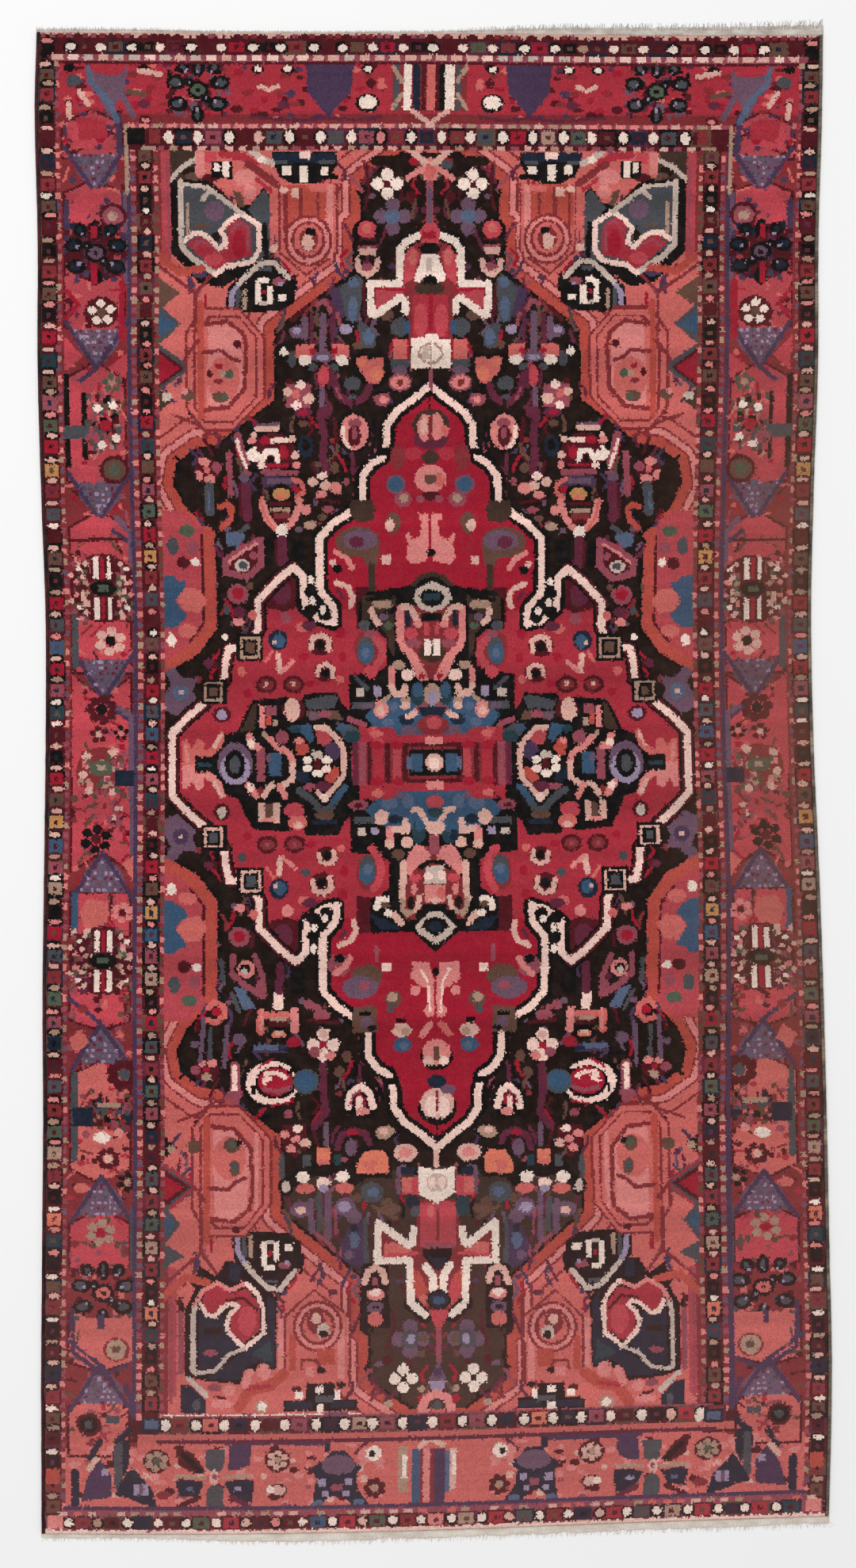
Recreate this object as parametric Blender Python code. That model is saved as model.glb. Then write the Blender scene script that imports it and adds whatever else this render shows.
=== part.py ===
"""A hand-knotted rug lying flat: the knotted pile, a wool overcast selvedge along each
long side, and at each end a narrow flat-woven strip whose warps hang out as a short fringe.

Metres, +Z up. X runs across the rug and Y along it, the upper end of the design towards +Y.
The origin is at the middle of the whole rug, on the surface that it lies on.
"""

import math
import random

import bmesh
import bpy

# The rug's outline, as its two long sides wander: (along, left side, right side).
# The sides include the selvedges.
SIDE_ROWS = (
    (-1.525, -0.789, 0.801),
    (-1.200, -0.790, 0.808),
    (-0.950, -0.788, 0.803),
    (-0.700, -0.786, 0.798),
    (-0.430, -0.787, 0.791),
    (-0.180, -0.784, 0.782),
    (0.070, -0.781, 0.771),
    (0.330, -0.781, 0.766),
    (0.580, -0.790, 0.771),
    (0.840, -0.797, 0.780),
    (1.100, -0.797, 0.781),
    (1.350, -0.803, 0.788),
    (1.515, -0.799, 0.790),
)

# Each end, from the left side to the right: (share across, where the pile ends,
# depth of the flat-woven strip, length of its fringe).
UPPER_END_ROWS = (
    (0.00, 1.5120, 0.006, 0.005),
    (0.12, 1.5105, 0.007, 0.005),
    (0.25, 1.5095, 0.004, 0.003),
    (0.50, 1.5095, 0.004, 0.004),
    (0.64, 1.5070, 0.014, 0.008),
    (0.85, 1.5045, 0.018, 0.009),
    (1.00, 1.5055, 0.022, 0.012),
)
LOWER_END_ROWS = (
    (0.00, -1.5215, 0.009, 0.008),
    (0.15, -1.5225, 0.010, 0.007),
    (0.30, -1.5210, 0.018, 0.008),
    (0.50, -1.5140, 0.017, 0.008),
    (0.75, -1.4990, 0.017, 0.009),
    (1.00, -1.4860, 0.016, 0.009),
)

PILE_HEIGHT = 0.0085
PILE_ROUNDING = 0.0030
SELVEDGE_WIDTH = 0.0080
SELVEDGE_HEIGHT = 0.0065
SELVEDGE_WALL_SHARE = 0.35
STRIP_HEIGHT = 0.0028
STRAND_TIP_HEIGHT = 0.0016
CLEARANCE = 0.0003

SIDE_STATIONS = 48
END_STATIONS = 24
ROUNDING_STEPS = 3
SELVEDGE_STEPS = 5

STRANDS_PER_END = 120
STRAND_FILL = 0.52
STRAND_TIP_FILL = 0.55
STRAND_LEAN = 0.35
SHORTEST_STRAND = 0.55
LONGEST_STRAND = 1.15
CORNER_SPLAY = 0.010
SPLAY_STARTS_AT = 0.94
SEED = 4

WOOL_RED = (0.36, 0.045, 0.050)
WOOL_BROWN = (0.055, 0.032, 0.026)
COTTON = (0.70, 0.64, 0.54)
CLOTH_ROUGHNESS = 0.95


def remove_everything():
    for item in list(bpy.data.objects):
        bpy.data.objects.remove(item)


def smooth_through(rows, column, at):
    """A smooth curve through one column of a table, read at a value of the first column."""
    keys = [row[0] for row in rows]
    values = [row[column] for row in rows]
    at = min(max(at, keys[0]), keys[-1])
    i = max(k for k in range(len(keys) - 1) if keys[k] <= at)
    share = (at - keys[i]) / (keys[i + 1] - keys[i])

    def slope(k):
        before, after = max(k - 1, 0), min(k + 1, len(keys) - 1)
        return (values[after] - values[before]) / (keys[after] - keys[before])

    step = keys[i + 1] - keys[i]
    rise = values[i + 1] - values[i]
    cubic = share * share * (3 - 2 * share)
    bend_in = share * (1 - share) ** 2 * slope(i) * step
    bend_out = share * share * (share - 1) * slope(i + 1) * step
    return values[i] + rise * cubic + bend_in + bend_out


def side_x(along, side):
    """Where the rug's left (-1) or right (1) side is, selvedge included."""
    return smooth_through(SIDE_ROWS, 1 if side < 0 else 2, along)


def end_y(across, end):
    """Where the pile ends at the upper (1) or lower (-1) end, for a share across."""
    return smooth_through(UPPER_END_ROWS if end > 0 else LOWER_END_ROWS, 1, across)


def length_at_side(side):
    """The lowest and highest point of the pile along one side."""
    across = 0.0 if side < 0 else 1.0
    return end_y(across, -1), end_y(across, 1)


def pile_outline(inset):
    """The pile's outline, anticlockwise from its lower left corner, drawn in by inset."""
    edge = SELVEDGE_WIDTH + CLEARANCE + inset
    points = []
    for k in range(END_STATIONS):
        share = k / END_STATIONS
        y = end_y(share, -1) + inset
        left, right = side_x(y, -1) + edge, side_x(y, 1) - edge
        points.append((left + (right - left) * share, y))
    low, high = length_at_side(1)
    for k in range(SIDE_STATIONS):
        y = low + inset + (high - low - 2 * inset) * k / SIDE_STATIONS
        points.append((side_x(y, 1) - edge, y))
    for k in range(END_STATIONS):
        share = 1 - k / END_STATIONS
        y = end_y(share, 1) - inset
        left, right = side_x(y, -1) + edge, side_x(y, 1) - edge
        points.append((left + (right - left) * share, y))
    low, high = length_at_side(-1)
    for k in range(SIDE_STATIONS):
        y = high - inset - (high - low - 2 * inset) * k / SIDE_STATIONS
        points.append((side_x(y, -1) + edge, y))
    return points


def cloth_material(name, colour):
    material = bpy.data.materials.new(name)
    material.use_nodes = True
    shader = material.node_tree.nodes["Principled BSDF"]
    shader.inputs["Base Color"].default_value = (*colour, 1.0)
    shader.inputs["Roughness"].default_value = CLOTH_ROUGHNESS
    shader.inputs["Metallic"].default_value = 0.0
    return material


def add_solid(name, shape, material):
    """Makes an object of a bmesh, its faces pointing out and shaded smooth."""
    bmesh.ops.recalc_face_normals(shape, faces=shape.faces)
    mesh = bpy.data.meshes.new(name)
    shape.to_mesh(mesh)
    shape.free()
    mesh.shade_smooth()
    mesh.set_sharp_from_angle(angle=math.radians(40))
    mesh.materials.append(material)
    item = bpy.data.objects.new(name, mesh)
    bpy.context.scene.collection.objects.link(item)
    return item


def loft(rings):
    """A closed bmesh through rings of the same number of points, capped at both ends."""
    shape = bmesh.new()
    loops = [[shape.verts.new(point) for point in ring] for ring in rings]
    for lower, upper in zip(loops, loops[1:]):
        for k in range(len(lower)):
            after = (k + 1) % len(lower)
            shape.faces.new((lower[k], lower[after], upper[after], upper[k]))
    shape.faces.new(loops[0])
    shape.faces.new(loops[-1])
    return shape


def build_pile(material):
    """The knotted pile and its ground: one flat slab, its top edge rounded over."""
    rings = [[(x, y, 0.0) for x, y in pile_outline(0.0)]]
    for step in range(ROUNDING_STEPS + 1):
        turn = math.radians(90 * step / ROUNDING_STEPS)
        inset = PILE_ROUNDING * (1 - math.cos(turn))
        z = PILE_HEIGHT - PILE_ROUNDING * (1 - math.sin(turn))
        rings.append([(x, y, z) for x, y in pile_outline(inset)])
    return add_solid("rug_pile", loft(rings), material)


def build_selvedge(name, side, material):
    """The overcast edge: a low rounded cord lying along one side of the pile."""
    low, high = length_at_side(side)
    half = SELVEDGE_WIDTH / 2
    section = [(-half, 0.0)]
    for step in range(SELVEDGE_STEPS + 1):
        turn = math.radians(180 - 180 * step / SELVEDGE_STEPS)
        crown = (1 - SELVEDGE_WALL_SHARE) * math.sin(turn)
        z = SELVEDGE_HEIGHT * (SELVEDGE_WALL_SHARE + crown)
        section.append((half * math.cos(turn), z))
    section.append((half, 0.0))
    rings = []
    for k in range(SIDE_STATIONS + 1):
        y = low + (high - low) * k / SIDE_STATIONS
        middle = side_x(y, side) - side * half
        rings.append([(middle + x, y, z) for x, z in section])
    return add_solid(name, loft(rings), material)


def strip_stations():
    """Shares across the strip where a strand's root starts and ends, both ends included."""
    pitch = 1.0 / STRANDS_PER_END
    margin = pitch * (1 - STRAND_FILL) / 2
    stations = [0.0]
    for k in range(STRANDS_PER_END):
        stations += [k * pitch + margin, (k + 1) * pitch - margin]
    return stations + [1.0]


def strip_point(share, rows, end, depth_share):
    """A point on the flat-woven strip: depth_share 0 is beside the pile and 1 its free edge."""
    pile_end = smooth_through(rows, 1, share)
    depth = smooth_through(rows, 2, share)
    y = pile_end + end * (CLEARANCE + depth * depth_share)
    left, right = side_x(pile_end, -1), side_x(pile_end, 1)
    return left + (right - left) * share, y


def build_fringed_end(name, rows, end, material, chance):
    """The flat-woven strip with its warps hanging out of the free edge as short strands."""
    shape = bmesh.new()
    stations = strip_stations()
    lines = []
    for depth_share, z in ((0, 0.0), (1, 0.0), (1, STRIP_HEIGHT), (0, STRIP_HEIGHT)):
        lines.append([shape.verts.new((*strip_point(s, rows, end, depth_share), z)) for s in stations])
    strand_roots = []
    for k in range(len(stations) - 1):
        for i in range(4):
            a, b = lines[i], lines[(i + 1) % 4]
            face = shape.faces.new((a[k], a[k + 1], b[k + 1], b[k]))
            if i == 1 and k % 2 == 1:
                strand_roots.append((face, (stations[k] + stations[k + 1]) / 2))
    for k in (0, len(stations) - 1):
        shape.faces.new([line[k] for line in lines])
    bmesh.ops.recalc_face_normals(shape, faces=shape.faces)
    for root, share in strand_roots:
        grow_strand(shape, root, share, rows, end, chance)
    return add_solid(name, shape, material)


def grow_strand(shape, root, share, rows, end, chance):
    """Draws one strand out of its root face, thinner and lower towards its tip."""
    length = smooth_through(rows, 3, share) * chance.uniform(SHORTEST_STRAND, LONGEST_STRAND)
    lean = length * chance.uniform(-STRAND_LEAN, STRAND_LEAN)
    splay = CORNER_SPLAY * max(0.0, share - SPLAY_STARTS_AT) / (1 - SPLAY_STARTS_AT)
    made = bmesh.ops.extrude_discrete_faces(shape, faces=[root])
    tip = made["faces"][0]
    middle_x = sum(vert.co.x for vert in tip.verts) / 4
    for vert in tip.verts:
        vert.co.x = middle_x + (vert.co.x - middle_x) * STRAND_TIP_FILL + lean + splay
        vert.co.y += end * length
        vert.co.z = min(vert.co.z, STRAND_TIP_HEIGHT)


def centre_on_origin(items):
    """Moves every mesh so that the whole rug's middle is at x = 0, y = 0."""
    corners = [vert.co for item in items for vert in item.data.vertices]
    middle_x = (min(c.x for c in corners) + max(c.x for c in corners)) / 2
    middle_y = (min(c.y for c in corners) + max(c.y for c in corners)) / 2
    for item in items:
        for vert in item.data.vertices:
            vert.co.x -= middle_x
            vert.co.y -= middle_y


def build_rug():
    remove_everything()
    chance = random.Random(SEED)
    pile = cloth_material("madder red wool pile", WOOL_RED)
    brown = cloth_material("dark brown wool overcast", WOOL_BROWN)
    cotton = cloth_material("undyed cotton", COTTON)
    items = [
        build_pile(pile),
        build_selvedge("selvedge_left", -1, brown),
        build_selvedge("selvedge_right", 1, brown),
        build_fringed_end("fringed_end_upper", UPPER_END_ROWS, 1, cotton, chance),
        build_fringed_end("fringed_end_lower", LOWER_END_ROWS, -1, cotton, chance),
    ]
    centre_on_origin(items)


build_rug()
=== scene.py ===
import math

import bpy
import numpy as np
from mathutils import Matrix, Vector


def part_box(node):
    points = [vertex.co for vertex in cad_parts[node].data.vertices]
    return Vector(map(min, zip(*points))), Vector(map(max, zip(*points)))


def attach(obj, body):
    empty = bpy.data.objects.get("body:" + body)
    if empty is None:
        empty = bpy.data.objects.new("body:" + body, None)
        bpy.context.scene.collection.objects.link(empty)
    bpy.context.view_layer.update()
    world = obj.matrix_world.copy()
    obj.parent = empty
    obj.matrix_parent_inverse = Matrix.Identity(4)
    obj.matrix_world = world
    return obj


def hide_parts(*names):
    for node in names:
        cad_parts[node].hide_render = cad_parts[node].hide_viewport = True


# a hand-knotted village rug lying on a studio floor, seen from straight above
# metres, +Z up, +Y towards the upper end of the design; the chart of the pile is in centimetres

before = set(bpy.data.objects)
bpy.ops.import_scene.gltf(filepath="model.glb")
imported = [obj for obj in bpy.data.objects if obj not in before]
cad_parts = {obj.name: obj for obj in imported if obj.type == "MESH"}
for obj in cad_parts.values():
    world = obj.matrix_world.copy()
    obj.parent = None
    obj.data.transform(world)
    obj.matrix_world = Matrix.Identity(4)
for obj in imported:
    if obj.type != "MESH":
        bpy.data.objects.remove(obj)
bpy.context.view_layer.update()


def linearColour(hexText, alpha=1.0):
    parts = [int(hexText[k:k + 2], 16) / 255 for k in (1, 3, 5)]
    return tuple(p / 12.92 if p <= 0.04045 else ((p + 0.055) / 1.055) ** 2.4 for p in parts) + (alpha,)


def addNode(tree, kind, inputs=None, output=0, **settings):
    # a shader node with its settings; a socket given as an input is linked, anything else is set
    node = tree.nodes.new("ShaderNode" + kind)
    for name, value in settings.items():
        setattr(node, name, value)
    for socket, value in (inputs or {}).items():
        if isinstance(value, bpy.types.NodeSocket):
            tree.links.new(value, node.inputs[socket])
        else:
            node.inputs[socket].default_value = value
    return node.outputs[output] if node.outputs else node


def newMaterial(name):
    material = bpy.data.materials.new(name)
    material.use_nodes = True
    material.node_tree.nodes.clear()
    return material, material.node_tree


# the weaver's chart
# every knot of the pile holds the number of its wool; all places are in centimetres
# from the rug's middle, read for the upper left quarter and mirrored to the others

wools = {  # dyed pile wools, as sRGB
    "cream": "#E6CFC2",
    "shell": "#E8C2B6",
    "blush": "#D0A093",
    "pink": "#CF7B77",
    "coral": "#C2605B",
    "ash": "#BDA79C",
    "madder": "#B8424C",
    "terracotta": "#AC463C",
    "softRed": "#A94048",
    "red": "#A02B38",
    "crimson": "#97162B",
    "brick": "#7C2A2E",
    "maroon": "#4C1019",
    "wine": "#5C2236",
    "rose": "#8C4450",
    "mauve": "#654A5C",
    "lilac": "#94829A",
    "purple": "#43304A",
    "slate": "#45464B",
    "greyBlue": "#505C74",
    "blue": "#354E68",
    "navy": "#182131",
    "teal": "#20383F",
    "green": "#4A5344",
    "umber": "#5E4136",
    "tan": "#A48270",
    "ochre": "#B88250",
    "orange": "#CE705A",
    "brown": "#1C0F0B",
    "earth": "#3C2A22",
    "black": "#0D090A",
}
dye = {name: number for number, name in enumerate(wools)}
shelfPlaces = 32   # a colour ramp holds no more stops, so a wool's number takes five bits

knotting = {
    "acrossCm": 157.4,   # pile between the two selvedges
    "alongCm": 303.2,
    "knotMm": 2.8,       # about nine knots to the inch each way
    "group": 4,          # knots along one side of a mesh face
    "seed": 11,
}


def knotCount(lengthCm):
    group = knotting["group"]
    return group * round(lengthCm * 10 / knotting["knotMm"] / group)


knotColumns = knotCount(knotting["acrossCm"])
knotRows = knotCount(knotting["alongCm"])
knots = np.zeros((knotRows, knotColumns), np.int16)
columnX = ((np.arange(knotColumns) + 0.5) / knotColumns - 0.5) * knotting["acrossCm"]
rowY = (0.5 - (np.arange(knotRows) + 0.5) / knotRows) * knotting["alongCm"]
weaver = np.random.default_rng(knotting["seed"])

# the lower half isn't a true mirror: (height in the upper half, what the two heights add up to)
lowerHalf = ((0, 7.5), (45, 7.5), (60, 6.5), (80, 6.0), (100, 4.0), (112, 1.6), (121, 0.6), (152, 0.4))
# nor is the right half: (height, how far its motifs lie off the mirror across and along)
rightHalf = ((-138, 0.6, 0), (-126, 0.4, -0.9), (-114, 0.2, -1.4), (-100, 0, -1.1), (-80, -0.1, -1.0),
             (-66, -0.4, -0.9), (-54, -0.5, -0.8), (-42, 0.2, -0.8), (-30, 0.4, -0.8), (-6, 0.2, -0.4),
             (18, 0, -0.5), (40, 0.5, -0.8), (54, 0.9, -0.5), (66, -0.1, -0.1), (80, -0.6, 0),
             (90, -0.9, 0.1), (114, -0.8, 0.4), (130, -0.8, 0))


# below the middle it also runs nearer to it: (centimetres below), (how far it has come in)
lowerDrift = ((20, 70), (0, 1.6))
# (distance from the line down the middle), (what the two halves' places add up to there)
seam = ((0.5, 4, 45), (1.0, 1.3, 0.2))
spread = {  # (distance from that line), (share of each shift that a motif there gets)
    "across": ((0, 30, 45, 52), (0, 1, 1, 0)),
    "along": ((0, 10, 22, 79), (0, 0.2, 1, 1.2)),
    "drift": ((0, 30, 60, 79), (0, 1, 1, 0.2)),
}


def toRight(points):
    x, y = points.T
    away = np.abs(x)
    heights, across, along = zip(*rightHalf)
    across = np.interp(y, heights, across) * np.interp(away, *spread["across"])
    along = np.interp(y, heights, along) * np.interp(away, *spread["along"])
    drift = np.interp(-y, *lowerDrift) * np.interp(away, *spread["drift"])
    return np.column_stack((np.interp(away, *seam) - x - drift + across, y + along))


def toLower(points):
    heights, sums = zip(*lowerHalf)
    y = points[:, 1]
    return np.column_stack((points[:, 0], np.interp(y, heights, sums) - y))


def copiesOf(points, colour, copies):
    # all: four quarters; pair: as given and its right-hand mirror; ends: as given and the lower mirror
    points = np.atleast_2d(np.array(points, float))
    upper, lower = colour if isinstance(colour, tuple) else (colour, colour)
    made = [(points, upper)]
    if copies in ("all", "ends"):
        made.append((toLower(points), lower))
    if copies in ("all", "pair"):
        made += [(toRight(these), wool) for these, wool in made]
    return [(these, dye[name]) for these, name in made if name]


def windowOn(lowX, highX, lowY, highY):
    columns = slice(*np.searchsorted(columnX, (lowX, highX)))
    rows = slice(*np.searchsorted(-rowY, (-highY, -lowY)))
    return rows, columns


def patch(points, colour, copies="all"):
    for corners, number in copiesOf(points, colour, copies):
        low, high = corners.min(axis=0), corners.max(axis=0)
        rows, columns = windowOn(low[0], high[0], low[1], high[1])
        x, y = np.meshgrid(columnX[columns], rowY[rows])
        inside = np.zeros(x.shape, bool)
        for (ax, ay), (bx, by) in zip(corners, np.roll(corners, -1, axis=0)):
            if ay != by:
                inside ^= ((ay > y) != (by > y)) & (x < (bx - ax) * (y - ay) / (by - ay) + ax)
        knots[rows, columns][inside] = number


def block(x, y, width, height, colour, copies="all"):
    halfX, halfY = width / 2, height / 2
    for middle, number in copiesOf((x, y), colour, copies):
        cx, cy = middle[0]
        rows, columns = windowOn(cx - halfX, cx + halfX, cy - halfY, cy + halfY)
        knots[rows, columns] = number


def oval(x, y, radiusX, radiusY, colour, copies="all"):
    for middle, number in copiesOf((x, y), colour, copies):
        cx, cy = middle[0]
        rows, columns = windowOn(cx - radiusX, cx + radiusX, cy - radiusY, cy + radiusY)
        across, along = np.meshgrid((columnX[columns] - cx) / radiusX, (rowY[rows] - cy) / radiusY)
        knots[rows, columns][across ** 2 + along ** 2 < 1] = number


def stroke(points, width, colour, copies="all"):
    half = width / 2
    for route, number in copiesOf(points, colour, copies):
        for start, end in zip(route, route[1:]):
            low, high = np.minimum(start, end) - half, np.maximum(start, end) + half
            rows, columns = windowOn(low[0], high[0], low[1], high[1])
            x, y = np.meshgrid(columnX[columns], rowY[rows])
            run = end - start
            share = np.clip(((x - start[0]) * run[0] + (y - start[1]) * run[1]) / (run @ run + 1e-9), 0, 1)
            away = np.hypot(x - start[0] - share * run[0], y - start[1] - share * run[1])
            knots[rows, columns][away < half] = number
# guards

bands = {  # cm from the middle, across for the sides and along for the ends
    "fieldX": 54.9, "guardX": 61.2, "borderX": 74.6, "fieldY": 127.7, "guardY": 133.2, "borderY": 145.6,
}
guardBlocks = {  # wools between the beads, from the upper corner down and from left to right
    "sides": "black umber brick black maroon navy brick umber maroon black brick umber black crimson teal "
             "umber rose green crimson ochre brick slate maroon umber black crimson slate blue crimson rose "
             "teal maroon black crimson umber ochre blue rose tan black crimson slate brick green rose navy "
             "maroon slate brick green tan brick black orange teal",
    "outerTop": "maroon umber black maroon maroon crimson black brick maroon umber crimson black maroon "
                "green brick crimson black maroon umber maroon brick black crimson umber",
    "outerBottom": "brick maroon navy maroon green red maroon maroon blue red green brick pink tan red slate "
                   "brick navy red slate tan red navy red teal",
    "innerTop": "navy rose maroon slate maroon slate rose brick navy brick slate crimson tan green maroon "
                "navy slate maroon",
    "innerBottom": "brick coral navy maroon rose navy tan rose navy brick rose navy orange navy rose maroon "
                   "black red",
}


def anyOf(names):
    return names[int(weaver.integers(len(names)))]


def beadRow(first, pitch, count, fixed, alongX, blocks, bead, blockSize, bright, copies):
    # small light beads with a dark-edged coloured block between each two
    names = guardBlocks[blocks].split()
    darks = ("black", "maroon", "umber", "navy", "maroon", "wine")
    for k in range(count):
        stray = weaver.uniform(-0.3, 0.3)
        place = first + pitch * k + stray
        here = (place, fixed) if alongX else (fixed + stray, place)
        between = (place + pitch / 2, fixed) if alongX else (fixed, place - abs(pitch) / 2)
        size = blockSize if alongX else blockSize[::-1]
        name = names[k % len(names)]
        edge = anyOf(darks) if name != "black" else "maroon"
        block(*between, size[0] + 0.8, size[1] + 0.7, edge, copies)
        block(*between, size[0] - 0.2, size[1], name, copies)
        block(*between, size[0] * 0.34, size[1] * 0.36, anyOf(darks), copies)
        shape = bead if alongX else bead[::-1]
        edge = "black" if weaver.random() < 0.7 else "maroon"
        oval(*here, shape[0] + 0.5, shape[1] + 0.45, edge, copies)
        pale = "cream" if weaver.random() < bright else anyOf(("blush", "tan", "pink", "blush"))
        oval(*here, *shape, pale, copies)


def dashes(low, high, pitch, fixed, alongX, size, names, copies="one"):
    for k, place in enumerate(np.arange(low, high, pitch)):
        here = (place, fixed) if alongX else (fixed, place)
        block(*here, *(size if alongX else size[::-1]), anyOf(names), copies)


def sideLine(x, low, high):
    return [(x, y) for y in (low, -70, -20, high)]


def drawGuards():
    x0, x1, x2, y0, y1, y2 = bands.values()
    patch([(-80, -152), *sideLine(-x2, -152, 152), (-80, 152)], "maroon", "pair")
    patch([(-80, y2), (80, y2), (80, 152), (-80, 152)], "maroon", "one")
    patch([(-80, -152), (80, -152), (80, -y2 - 1), (-80, -y2 - 1)], "rose", "one")
    stroke(sideLine(-x2 - 0.5, -146, 146), 1.1, "brick", "pair")
    dashes(-146, 146, 2.05, -x2 - 0.5, False, (1.2, 1.0), ("tan", "rose", "mauve", "pink", "rose"), "pair")
    dashes(-150, 150, 1.1, -78.6, False, (0.9, 0.6), ("black", "maroon", "brick", "wine"), "pair")
    beadRow(149.8, -4.45, 67, -77.1, False, "sides", (0.5, 1.2), (2.6, 2.9), 0.15, "pair")
    stroke([(-76, 146.5), (76, 146.5)], 1.4, "rose", "one")
    dashes(-75, 76, 3.1, 146.5, True, (2.1, 1.1), ("blush", "shell", "blush", "ash"))
    beadRow(-72.4, 6.1, 24, 148.6, True, "outerTop", (1.0, 0.8), (3.2, 2.0), 0.95, "one")
    stroke([(-x2, 145.4), (x2, 145.4)], 0.5, "maroon", "one")
    stroke([(-79, 151.3), (79, 151.3)], 0.7, "blush", "one")
    dashes(-78, 79, 1.7, 150.9, True, (1.1, 0.6), ("blush", "brick", "maroon", "rose"))
    dashes(-75, 76, 2.9, -147.5, True, (1.7, 0.9), ("rose", "tan", "coral", "blush"))
    stroke([(-79, -151.3), (79, -151.3)], 0.9, "shell", "one")
    dashes(-78, 79, 1.7, -150.8, True, (1.1, 0.6), ("shell", "brick", "rose", "blush"))
    beadRow(-74, 5.95, 25, -149.4, True, "outerBottom", (0.9, 0.85), (3.3, 2.2), 0.85, "one")
    stroke([(-x2, -146.4), (x2, -146.4)], 0.7, "purple", "one")
    # inner guard
    patch(sideLine(-x1, -y1, y1) + sideLine(-x0, -y1, y1)[::-1], "maroon", "pair")
    stroke(sideLine(-60.8, -128, 132), 0.9, "purple", "pair")
    for x, names in ((-59.7, ("tan", "rose", "mauve", "pink")), (-55.2, ("rose", "umber", "tan", "pink"))):
        stroke(sideLine(x, -128, 132.6), 1.1, "brick", "pair")
        dashes(-128, 132, 2.05, x, False, (1.2, 0.95), names, "pair")
    beadRow(133.6, -4.5, 58, -57.3, False, "sides", (0.55, 0.8), (2.6, 2.8), 0.12, "pair")
    patch([(-x1, y0), (x1, y0), (x1, y1), (-x1, y1)], "maroon", "one")
    stroke([(-x1, 132.7), (x1, 132.7)], 1.0, "rose", "one")
    dashes(-60, 61, 2.75, 132.7, True, (1.9, 0.9), ("blush", "tan", "pink"))
    dashes(-54, 55, 2.75, 128.2, True, (1.6, 0.7), ("blush", "rose", "tan"))
    beadRow(-52.4, 6.13, 18, 130.5, True, "innerTop", (0.95, 1.2), (3.2, 2.7), 0.85, "one")
    patch([(-x0 - 1, -y0), (x0 + 1, -y0), (x0 + 1, -y1 + 1.6), (-x0 - 1, -y1 + 1.6)], "rose", "one")
    patch([(-60, -y1 + 1.6), (60, -y1 + 1.6), (60, -y1), (-60, -y1)], "coral", "one")
    stroke([(-56, -132.9), (56, -132.9)], 0.9, "wine", "one")
    beadRow(-54.3, 5.98, 19, -129.7, True, "innerBottom", (0.95, 1.15), (3.2, 2.6), 0.9, "one")


# grounds of the field

groundEdge = [  # where the dark ground meets the corner, from the upper end round to the side
    (0.5, 127.4), (-5, 127.4), (-13.5, 121.5), (-13.5, 113.3), (-15, 112.3), (-15, 103.3), (-31, 91.5),
    (-31, 77.3), (-40.5, 70.2), (-43.2, 68), (-47, 67.6), (-51.2, 64.6), (-52, 60.5), (-49.7, 56.2),
    (-46, 52.6), (-43.4, 50.8), (-43.4, 31.4), (-47.5, 26), (-54.9, 21.6),
]
medallionEdge = [
    (0.4, 80.2), (-2.6, 77.6), (-6.2, 75.0), (-8.2, 72.2), (-8.2, 68.8), (-9.2, 65.6), (-11.4, 64.4),
    (-13.3, 61.8), (-13.3, 57.0), (-16.4, 54.2), (-19.2, 52.6), (-22.3, 49.4), (-22.3, 38.6), (-19.6, 35.6),
    (-19.4, 32.3), (-22.6, 33.2), (-25.6, 35.6), (-25.8, 41.8), (-27.8, 43.6), (-31, 41.2), (-35.2, 36.8),
    (-35.2, 31.4), (-37.2, 27.6), (-41.4, 27.2), (-42.2, 23.8), (-42.5, 20.8), (-44.6, 18.4), (-46.6, 16.2),
    (-50.2, 13.2), (-53.2, 10.0), (-53.2, 3.75),
]


def drawCorners():
    patch([(0, 128), (-55, 128), (-55, 0), (0, 0)], "coral")
    for width, name in ((13.0, "brick"), (12.0, "coral"), (8.4, "brick"), (7.6, "pink"), (5.2, "brick"),
                        (4.4, "terracotta")):
        stroke(groundEdge[1:], width, name)


def drawDarkGround():
    patch(groundEdge + [(-55, 3.75), (0.5, 3.75)], "brown")
    patch([(0.5, -127), (-5, -127), (-13.5, -121), (-13.5, -112), (-15, -100), (-31, -87), (-31, -80),
           (0.5, -78)], "earth", "pair")
    stroke(groundEdge[1:], 0.6, "black")


def drawMedallionGround():
    patch(medallionEdge + [(0.5, 3.75)], "crimson")
    # the dyer's second lot of red runs through the middle
    patch([(-31, 41.2), *medallionEdge[22:], (0.5, 3.75), (0.5, 33), (-26, 36)], "red")
    patch([(-33.6, 38.4), (-28.4, 42.4), (-26.6, 41.0), (-26.4, 35.8), (-29.6, 34.6), (-33.4, 35.4)],
          "maroon")


def drawMedallionEdge():
    stroke(medallionEdge, 3.3, "black")
    stroke(medallionEdge[18:], 2.4, "maroon")
    stroke(medallionEdge, 1.45, "shell")
    for x, y, size in ((-37.0, 27.4, 5.6), (-44.6, 18.5, 5.2)):
        block(x, y, size, size, "black")
        block(x, y, size - 1.2, size - 1.2, ("tan", "blush"))
        block(x, y, size - 2.4, size - 2.2, "black")
        block(x, y, size - 3.6, size - 3.4, ("umber", "slate"))


# flowers

def fourPetals(x, y, reach, petal, heart, copies):
    # the common four-petalled flower of the ground
    for dx, dy in ((-1, 0), (1, 0), (0, -1), (0, 1)):
        oval(x + dx * reach * 0.62, y + dy * reach * 0.62, reach * 0.4, reach * 0.4, petal, copies)
    block(x, y, reach * 0.42, reach * 0.42, heart, copies)


def bud(x, y, width, height, petal, heart, halo, copies):
    oval(x, y, width / 2 + 0.7, height / 2 + 0.7, halo, copies)
    oval(x, y, width / 2, height / 2, petal, copies)
    oval(x, y + height * 0.08, width * 0.24, height * 0.27, heart, copies)


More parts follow.
